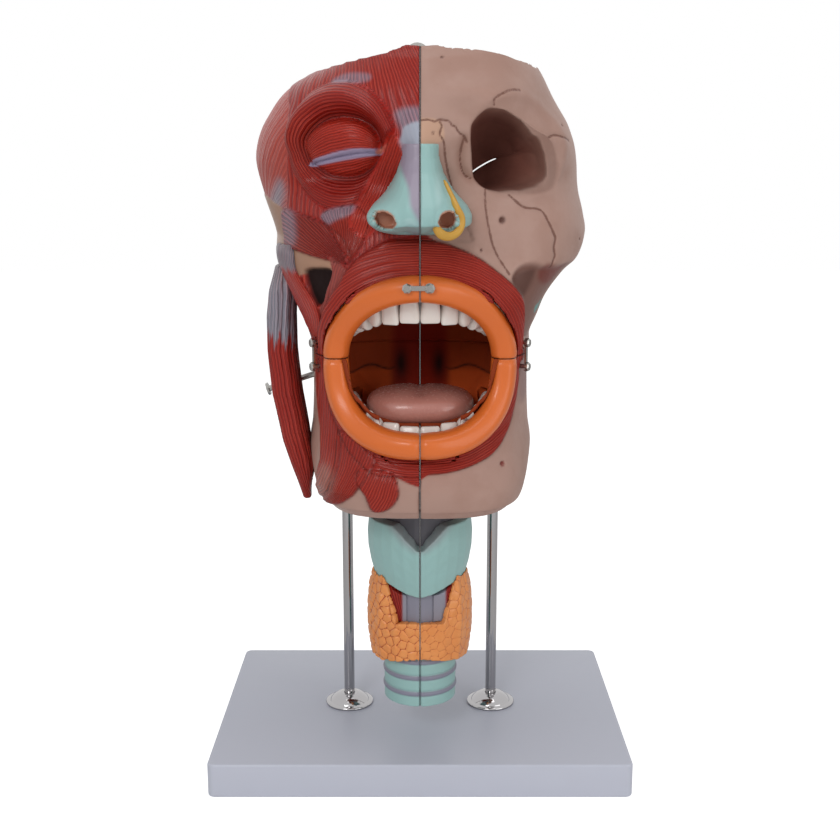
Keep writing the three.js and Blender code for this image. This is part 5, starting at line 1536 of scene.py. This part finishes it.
class HEAD_OT_nose(bpy.types.Operator):
    """Model the cartilages of the nose and the yellow ring round one nostril"""

    bl_idname = "headmodel.nose"
    bl_label = "Nose"

    def execute(self, context):
        for side in (RIGHT, LEFT):
            word = WORDS[side]
            obj, _, free = smoothed(word + "_nasal_cartilage", 0.75, 14)
            points, normals = points_of(obj), normals_of(obj)
            x, y, z = seen_from_front(points, side)
            push = 1.8 * bump(x, z, 24, 405, 9, 10) * (y < -118) - 1.2 * bump(x, z, 9, 396, 4, 8) * (y < -130)
            push = push + 0.8 * bump(x, z, 6, 416, 5, 14) - 0.9 * bump(x, z, 20, 424, 6, 8)
            points += normals * (push * (1 - (free[:, 0] == 0)))[:, None]
            place(obj, points)
            coat = Coat(x, z, TEAL)
            if side == RIGHT:
                coat.tint(NOSE_LILAC, 4, linear(150, 140, 156))
                coat.shade(bump(x, z, 2, 396, 7, 8), linear(130, 146, 156), 0.8)
            else:
                coat.shade(bump(x, z, 11, 422, 2.5, 10), linear(176, 204, 202), 0.6)
            coat.shade(bump(x, z, 12, 400, 16, 9) * 0.5, linear(112, 150, 150), 0.7)
            dx, dz = x - NOSTRIL[0], z - NOSTRIL[1]
            bore = np.hypot(dx, dz)
            inward = -(normals[:, 0] * side * dx + normals[:, 2] * dz) / np.maximum(bore, 0.5)
            hole = np.maximum(smooth_step(inward, 0.72, 0.92), smooth_step(bore, 6.2, 5.6))
            hole = smooth_step(bore, 9.4, 8.4) * hole
            coat.shade(hole, linear(190, 136, 112))
            near = smooth_step(bore, 13, 7.5)
            slide, widen = (2.4, 0.16) if side == RIGHT else (-2.2, -0.04)
            points[:, 0] += side * near * (slide + widen * dx)
            points[:, 2] -= 0.08 * near * dz - (0.12 * near * dx if side == RIGHT else 0)
            place(obj, points)
            store_coat(obj, coat)
            obj.name = word + "_nose_side"
            nodes = [word + "_nasal_cartilage"]
            finish_piece(obj, body_name(side, True), nodes, "nose")
        self.ring()
        return {"FINISHED"}

    def ring(self):
        """The yellow cartilage round the left nostril, and the strip that runs up from it along the nose."""
        turns = np.radians(np.linspace(-192, 52, 40))
        thick = np.interp(np.degrees(turns), [-192, -165, -125, -60, 20, 52], [1.2, 2.3, 3.0, 2.5, 2.2, 2.1])
        x, z = 17.3 + 8.2 * np.cos(turns), NOSTRIL[1] - 1.4 + 9.0 * np.sin(turns)
        y = -149.8 + 0.7265 * (x - NOSTRIL[0])
        path = list(zip(x, y, z, thick))
        nose = hit_tree(frame["nodes"]["left_nasal_cartilage"])
        for t in np.linspace(0.12, 1, 14):
            px, pz = 22.6 - 7.8 * t, 411.6 + 16.6 * t
            hit = nose.ray_cast(Vector((px, -200, pz)) * MM, Vector((0, 1, 0)))
            py = hit[0].y / MM - 0.3 if hit[0] else path[-1][1]
            py = path[-1][1] + float(np.clip(py - path[-1][1], -2.2, 2.2))
            path.append((px, py, pz, 2.2 - 1.1 * t))
        line = np.array(path)
        spine = line[:, :3].copy()
        for _ in range(6):
            spine[1:-1] += 0.5 * ((spine[2:] + spine[:-2]) / 2 - spine[1:-1])
        angle = full_turn(18)
        ahead = np.gradient(spine, axis=0)
        ahead /= np.linalg.norm(ahead, axis=1)[:, None]
        rings = []
        for k, (centre, way) in enumerate(zip(spine, ahead)):
            side_way = np.cross(way, (0, -1, 0))
            side_way /= np.linalg.norm(side_way)
            up = np.cross(side_way, way)
            size = line[k, 3] * end_scale(k, len(spine), 0.45, 0.8)
            rings.append(centre + size * (np.cos(angle)[:, None] * side_way + 0.85 * np.sin(angle)[:, None] * up))
        obj = loft("left_nostril_ring", rings)
        finish_piece(obj, body_name(LEFT, True), ["left_alar_ring"], "ring")


class HEAD_OT_cheek_muscles(bpy.types.Operator):
    """Model the chewing muscle and the strap from the cheekbone to the mouth corner"""

    bl_idname = "headmodel.cheek_muscles"
    bl_label = "Cheek muscles"

    def execute(self, context):
        self.masseter()
        self.strap()
        return {"FINISHED"}

    def masseter(self):
        """The chewing muscle that stands clear of the jaw, grey at its upper end."""
        obj = refined("right_masseter", 0.85)
        relax(obj, 30)
        points, normals = points_of(obj), normals_of(obj)
        x, y, z = seen_from_front(points, RIGHT)
        middle_x = np.interp(z, [204, 247, 280, 310, 367], [80.5, 90.5, 96, 98, 93.2])
        middle_y = np.interp(z, [204, 367], [-46, -42.5])
        body = smooth_step(z, 204, 235) * smooth_step(z, 371, 350)
        inward = smooth_step(x - middle_x, 5, -7)
        points[:, 0] += (3.2 + 2.6 * smooth_step(z, 320, 245)) * inward * body
        points[:, 1] -= 2.5 * smooth_step(y - middle_y, 4, -12) * body
        fibre = np.arctan2(y - middle_y, x - middle_x + 4) * 15
        points += normals * (0.45 * np.sin(2 * math.pi * fibre / 3.9 + 0.6 * np.sin(z / 15)) * body)[:, None]
        place(obj, points)
        coat = Coat(x, z, linear(176, 46, 38))
        edge = 319 + 4.5 * np.sin(fibre * 1.5) + 3 * np.sin(fibre * 3.7)
        coat.shade(smooth_step(z - edge, -3, 3), linear(164, 170, 184))
        coat.shade(smooth_step(z, 352, 368), linear(150, 150, 156), 0.6)
        coat.fibre, coat.grain = fibre, np.full(len(x), 1.0)
        self.keep(obj, coat, "right_masseter_body", "right_masseter")

    def strap(self):
        """A flat strap that lies on the face from the cheekbone down to the mouth corner."""
        heights = np.linspace(STRAP[0][0], STRAP[-1][0], 60)
        table = np.array(STRAP)[::-1]
        middle_table, half_table = table[:, :2], table[:, (0, 2)]
        middle, half = along(middle_table, heights), along(half_table, heights)
        cad = COMMON_SWELLS + MUSCLE_SWELLS
        across = np.concatenate([np.linspace(-1, 1, 17), np.linspace(1, -1, 17)[1:-1]])
        over = np.arange(len(across)) < 17
        rings = []
        for k, (z, x, wide) in enumerate(zip(heights, middle, half)):
            xs = x + across * wide
            ys = face_depth(RIGHT, xs, np.full(len(xs), z), cad)
            full = (1 - np.abs(across) ** 3.5) ** 0.5
            ribs = 0.22 * np.cos(across * wide * 2 * math.pi / 2.6)
            lift = np.where(over, (0.9 + 2.4 * smooth_step(z, 332, 350) + ribs) * full, -0.9 * full)
            lift = lift * end_scale(k, len(heights), 0.55, 0.85)
            turn = np.arctan2(xs, -ys)
            rings.append(np.stack([-(xs + lift * np.sin(turn)), ys - lift * np.cos(turn), np.full(len(xs), z)], 1))
        obj = loft("right_zygomatic_strap", rings)
        points = points_of(obj)
        x, z = -points[:, 0], points[:, 2]
        coat = Coat(x, z, linear(182, 50, 40))
        share = (x - along(middle_table, z)) / along(half_table, z)
        coat.fibre, coat.grain = share * 9, np.full(len(x), 0.9)
        coat.shade(smooth_step(z + 1.2 * np.sin(share * 9), 366, 372), TENDON)
        self.keep(obj, coat, "right_zygomatic_strap", "right_zygomatic_muscle")

    def keep(self, obj, coat, name, node):
        store_coat(obj, coat)
        obj.name = name
        finish_piece(obj, body_name(RIGHT, True), [node], "masseter")


# Pieces of each side of the neck: node, spacing of points, smoothing steps, finish and slot
NECK_PIECES = [
    ("trachea", 1.0, 6, "nose", "cartilage_teal"),
    ("thyroid_membrane", 1.0, 6, "membrane", "cricoid_lilac"),
    ("cricoid", 1.0, 8, "lilac", "cricoid_lilac"),
    ("thyroid_cartilage", 1.0, 34, "nose", "cartilage_teal"),
    ("cricothyroid_muscle", 0.75, 8, "masseter", "muscle_red"),
    ("thyroid_gland", 0.94, 8, "gland", "gland_orange"),
]


class HEAD_OT_neck(bpy.types.Operator):
    """Model the windpipe, the voice box, its muscles and the gland in front of them"""

    bl_idname = "headmodel.neck"
    bl_label = "Neck"

    def execute(self, context):
        detail = context.scene.head_model.piece_detail / MM
        for side in (RIGHT, LEFT):
            for node, share, times, finish, slot in NECK_PIECES:
                name = f"{WORDS[side]}_{node}"
                obj, _, free = smoothed(name, share * detail, times)
                shape = getattr(self, node, None)
                if shape:
                    shape(obj, side, free)
                obj.name = name + "_piece"
                finish_piece(obj, body_name(side, False), [name], finish)
        return {"FINISHED"}

    def trachea(self, obj, side, free):
        """Rings of cartilage with softer, bulging bands between them."""
        points = points_of(obj)
        z = points[:, 2]
        out = np.stack([points[:, 0], points[:, 1] + AIRWAY_FRONT, np.zeros(len(z))], 1)
        reach = np.hypot(out[:, 0], out[:, 1])
        low_ring, pitch, soft = 57, 12, 0.77
        phase = ((z - low_ring) / pitch) % 1 - soft
        band = smooth_step(np.abs(phase), 0.19, 0.12)
        outer = smooth_step(reach, 22, 24) * (points[:, 1] < -35)
        swell = 0.9 * band * np.cos(phase * math.pi / 0.5)
        swell = swell - 0.9 * np.exp(-(((np.abs(phase) - 0.17) / 0.04) ** 2))
        even = (25.9 - reach) * smooth_step(reach, 23.4, 24.4)
        points += out / np.maximum(reach, 1)[:, None] * ((swell + even) * outer * (z < 118) * free[:, 0])[:, None]
        place(obj, points)
        coat = Coat(points[:, 0] * side, z, TEAL)
        coat.shade(band * outer, linear(134, 134, 150))
        store_coat(obj, coat)

    def thyroid_cartilage(self, obj, side, free):
        points = points_of(obj)
        x, z = points[:, 0] * side, points[:, 2]
        coat = Coat(x, z, TEAL)
        vee = coat.inside(THYROID_NOTCH, 9, False)
        coat.shade(vee, linear(142, 148, 152), 0.85)
        store_coat(obj, coat)

    def cricothyroid_muscle(self, obj, side, free):
        points = points_of(obj)
        x, z = points[:, 0] * side, points[:, 2]
        inner = smooth_step(x, 13.5, 11.5) if side == RIGHT else smooth_step(x, 19.5, 17)
        coat = Coat(x, z, RED)
        coat.shade(inner, linear(140, 138, 150))
        coat.fibre, coat.grain = around(x, z, 6, 96, 40), 1 - inner
        store_coat(obj, coat)

    def thyroid_gland(self, obj, side, free):
        """Cobbles: each lies round a scattered point, with a groove to its neighbours."""
        points, normals = points_of(obj), normals_of(obj)
        turn = np.arctan2(points[:, 0], -(points[:, 1] + AIRWAY_FRONT))
        gland_radius, cobble = 36, 5.0
        flat = np.stack([turn * gland_radius, points[:, 2]], 1)
        scatter = np.random.default_rng(7 + side)
        seeds = []
        for _ in range(4000):
            seed = scatter.uniform((-75, 88), (75, 160))
            if all(np.hypot(*(seed - other)) > cobble for other in seeds):
                seeds.append(seed)
        apart = flat[:, None] - np.array(seeds)[None]
        gaps = np.sort(np.hypot(apart[..., 0], apart[..., 1]), axis=1)
        line = gaps[:, 1] - gaps[:, 0]
        strength = 1.0 if side == RIGHT else 0.4
        out = (np.hypot(points[:, 0], points[:, 1] + AIRWAY_FRONT) > 26.5) * free[:, 0]
        rise = smooth_step(line, 0, 2.6)
        points += normals * (strength * (0.9 * rise - 0.4) * out)[:, None]
        place(obj, points)
        store(obj, "line", line)
        store(obj, "grain", out * (0.95 if side == RIGHT else 0.6))


class HEAD_OT_hooks(bpy.types.Operator):
    """Give the hooks, screws and studs their metal"""

    bl_idname = "headmodel.hooks"
    bl_label = "Hooks and screws"

    def execute(self, context):
        for name in frame["nodes"]:
            if name.endswith(("_hook", "_screw", "_stud")):
                shade_node(name, "steel")
        return {"FINISHED"}


def round_bar(name, low, high, radius, x=0.0, y=0.0, sides=48, edge=0.4):
    """An upright round bar, added as a cylinder and given soft edges."""
    deselect()
    bpy.ops.mesh.primitive_cylinder_add(
        vertices=sides, radius=radius * MM, depth=(high - low) * MM, location=(x * MM, y * MM, (low + high) / 2 * MM))
    obj = settle(bpy.context.active_object)
    obj.name = name
    if edge:
        modify(obj, "BEVEL", width=edge * MM, segments=3, limit_method="ANGLE")
    bpy.ops.object.shade_smooth_by_angle(angle=math.radians(40))
    return obj


class HEAD_OT_stand(bpy.types.Operator):
    """Model the board, the two rods, their flanges and what holds them below"""

    bl_idname = "headmodel.stand"
    bl_label = "Stand"

    def execute(self, context):
        self.board()
        profile = [(4.3, 25.1), (17.9, 25.1), (18.25, 25.5), (18.25, 26.6), (17.8, 27.1), (16.6, 27.3), (15.4, 27.5)]
        for t in np.linspace(0, 1, 12) * math.pi / 2:
            profile.append((7.4 + 7.6 * math.cos(t) ** 1.2, 27.6 + 5.2 * math.sin(t) ** 1.6))
        profile += [(6.9, 33.05), (6.3, 33.1), (4.3, 33.1)]
        for side, word in WORDS.items():
            x = side * ROD_X
            rod = round_bar(word + "_rod_bar", ROD_FOOT, ROD_TOP, ROD_RADIUS, x, 0, 48, 0.9)
            finish_piece(rod, "stand", [word + "_rod"], "chrome")
            flange = lathe(word + "_rod_foot", profile, (x, 0), 72)
            self.bore(flange)
            finish_piece(flange, "stand", [word + "_rod_flange"], "chrome")
            bolt = round_bar("shank", 6.0, 24.0, 2.5, x, 0, 24, 0.3)
            head = round_bar("head", 2.2, 6.2, 4.9, x, 0, 6, 0.5)
            bolt = joined(word + "_rod_bolt_piece", [bolt, head])
            finish_piece(bolt, "stand", [word + "_rod_bolt"], "steel")
            shade_node(word + "_rod_washer", "steel")
        return {"FINISHED"}

    def bore(self, flange):
        """Takes the end faces off, so that the ring is open round the rod, and closes its inner wall."""
        only(flange)
        mode("EDIT")
        bpy.ops.mesh.select_all(action="DESELECT")
        mode("OBJECT")
        flange.data.vertices[-1].select = True
        flange.data.vertices[-2].select = True
        mode("EDIT")
        bpy.ops.mesh.delete(type="VERT")
        bpy.ops.mesh.select_mode(type="EDGE")
        bpy.ops.mesh.select_non_manifold()
        bpy.ops.mesh.bridge_edge_loops()
        face_outwards()
        mode("OBJECT")
        bpy.ops.object.shade_smooth_by_angle(angle=math.radians(50))

    def board(self):
        """The board, its bores, and the wider holes that take the bolts' heads."""
        deselect()
        bpy.ops.mesh.primitive_cube_add(size=1, location=(0, 0, BOARD_SIZE[2] / 2 * MM))
        board = bpy.context.active_object
        board.scale = [size * MM for size in BOARD_SIZE]
        settle(board)
        board.name = "board_slab"
        mode("EDIT")
        bpy.ops.mesh.select_mode(type="EDGE")
        bpy.ops.mesh.select_all(action="DESELECT")
        mode("OBJECT")
        for edge in board.data.edges:
            a, b = (board.data.vertices[i].co for i in edge.vertices)
            edge.select = abs(a.z - b.z) > 0.01
        mode("EDIT")
        bpy.ops.mesh.bevel(offset=BOARD_ROUND * MM, segments=8, affect="EDGES")
        mode("OBJECT")
        limit = math.radians(60)
        modify(board, "BEVEL", width=BOARD_EDGE * MM, segments=4, limit_method="ANGLE", angle_limit=limit)
        for x in (-ROD_X, ROD_X):
            for low, high, radius in BORES:
                drill = round_bar("drill", low, high, radius, x, 0, 32, 0)
                modify(board, "BOOLEAN", object=drill, operation="DIFFERENCE", solver="EXACT")
                bpy.data.objects.remove(drill)
        only(board)
        bpy.ops.object.shade_smooth_by_angle(angle=math.radians(40))
        finish_piece(board, "stand", ["base_board"], "board")


# Soft lights: name, place, height of what they are aimed at, and size, in metres
LIGHTS = [
    ("key", (-0.6, -1.6, 1.1), 0.3, 0.6), ("fill", (1.1, -1.2, 0.55), 0.3, 0.9), ("top", (0.05, -0.2, 1.7), 0.2, 0.8),
]
WHITE = (1, 1, 1)
CAMERA_AT, CAMERA_TILT = (0, -0.9125, 0.4424), 11.9


class HEAD_OT_stage(bpy.types.Operator):
    """Set the pale floor, the soft lights and the camera"""

    bl_idname = "headmodel.stage"
    bl_label = "Floor, lights and camera"

    def execute(self, context):
        settings = context.scene.head_model
        deselect()
        bpy.ops.mesh.primitive_plane_add(size=8, location=(0, 0, -0.0002))
        floor = bpy.context.active_object
        floor.name = "floor"
        floor.data.materials.append(self.floor_material(settings.floor_colour))
        for name, at, target_height, size in LIGHTS:
            self.light(name, at, (0, 0, target_height), getattr(settings, name + "_power"), size)
        self.world()
        camera = bpy.data.cameras.new("camera")
        camera.lens = settings.lens
        camera.sensor_width = 36
        holder = bpy.data.objects.new("camera", camera)
        holder.location = CAMERA_AT
        holder.rotation_euler = (math.radians(90 - CAMERA_TILT), 0, 0)
        context.scene.collection.objects.link(holder)
        context.scene.camera = holder
        context.scene.view_settings.view_transform = "Standard"
        return {"FINISHED"}

    def light(self, name, place_at, target, power, size):
        data = bpy.data.lights.new(name, "AREA")
        data.energy = power
        data.size = size
        lamp = bpy.data.objects.new(name, data)
        lamp.location = place_at
        lamp.rotation_euler = (Vector(target) - Vector(place_at)).to_track_quat("-Z", "Y").to_euler()
        bpy.context.scene.collection.objects.link(lamp)

    def floor_material(self, colour):
        """A floor that glows a little for the camera, so that it fades into the white behind it."""
        floor, tree, shader, _ = new_material("Pale floor", 0.8, 0.1)
        shader.inputs["Base Color"].default_value = (*colour, 1)
        surface = shader.outputs[0]
        path = add_node(tree, "LightPath", {})
        glow = add_node(tree, "Emission", {"Color": WHITE, "Strength": 0.68})
        add = add_node(tree, "AddShader", {0: surface, 1: glow.outputs[0]})
        mix = add_node(tree, "MixShader", {0: path.outputs["Is Camera Ray"], 1: surface, 2: add.outputs[0]})
        feed(tree, mix.outputs[0], tree.nodes["Material Output"].inputs["Surface"])
        return floor

    def world(self):
        """Soft light all round, and white where the camera, a reflection or glass sees past the pieces."""
        world = bpy.data.worlds.new("studio")
        bpy.context.scene.world = world
        world.use_nodes = True
        tree = world.node_tree
        soft = tree.nodes["Background"]
        soft.inputs["Color"].default_value = (*WHITE, 1)
        soft.inputs["Strength"].default_value = 0.4
        white = add_node(tree, "Background", {"Color": WHITE, "Strength": 1.0})
        path = add_node(tree, "LightPath", {})
        seen = math_node(tree, "MAXIMUM", path.outputs["Is Camera Ray"], path.outputs["Is Glossy Ray"])
        seen = math_node(tree, "MAXIMUM", seen, path.outputs["Is Transmission Ray"])
        mix = add_node(tree, "MixShader", {0: seen, 1: soft.outputs[0], 2: white.outputs[0]})
        feed(tree, mix.outputs[0], tree.nodes["World Output"].inputs["Surface"])


OPERATORS = [
    HEAD_OT_stage, HEAD_OT_stand, HEAD_OT_shells, HEAD_OT_lips, HEAD_OT_teeth, HEAD_OT_tongue,
    HEAD_OT_nose, HEAD_OT_cheek_muscles, HEAD_OT_neck, HEAD_OT_hooks,
]


class HEAD_PT_panel(bpy.types.Panel):
    """Lists the settings and the pieces of the head model"""

    bl_idname = "HEAD_PT_panel"
    bl_label = "Anatomical head model"
    bl_space_type = "VIEW_3D"
    bl_region_type = "UI"
    bl_category = "Head model"

    def draw(self, context):
        settings = context.scene.head_model
        for name in ("skin_detail", "piece_detail", "floor_colour", "key_power", "fill_power", "top_power", "lens"):
            self.layout.prop(settings, name)
        for operator in OPERATORS:
            self.layout.operator(operator.bl_idname)


CLASSES = [HeadModelSettings, *OPERATORS, HEAD_PT_panel]


def register():
    for cls in CLASSES:
        bpy.utils.register_class(cls)
    bpy.types.Scene.head_model = bpy.props.PointerProperty(type=HeadModelSettings)


def unregister():
    del bpy.types.Scene.head_model
    for cls in reversed(CLASSES):
        bpy.utils.unregister_class(cls)


def main():
    register()
    deselect()
    for operator in OPERATORS:
        group, name = operator.bl_idname.split(".")
        getattr(getattr(bpy.ops, group), name)()


if __name__ == "__main__":
    main()
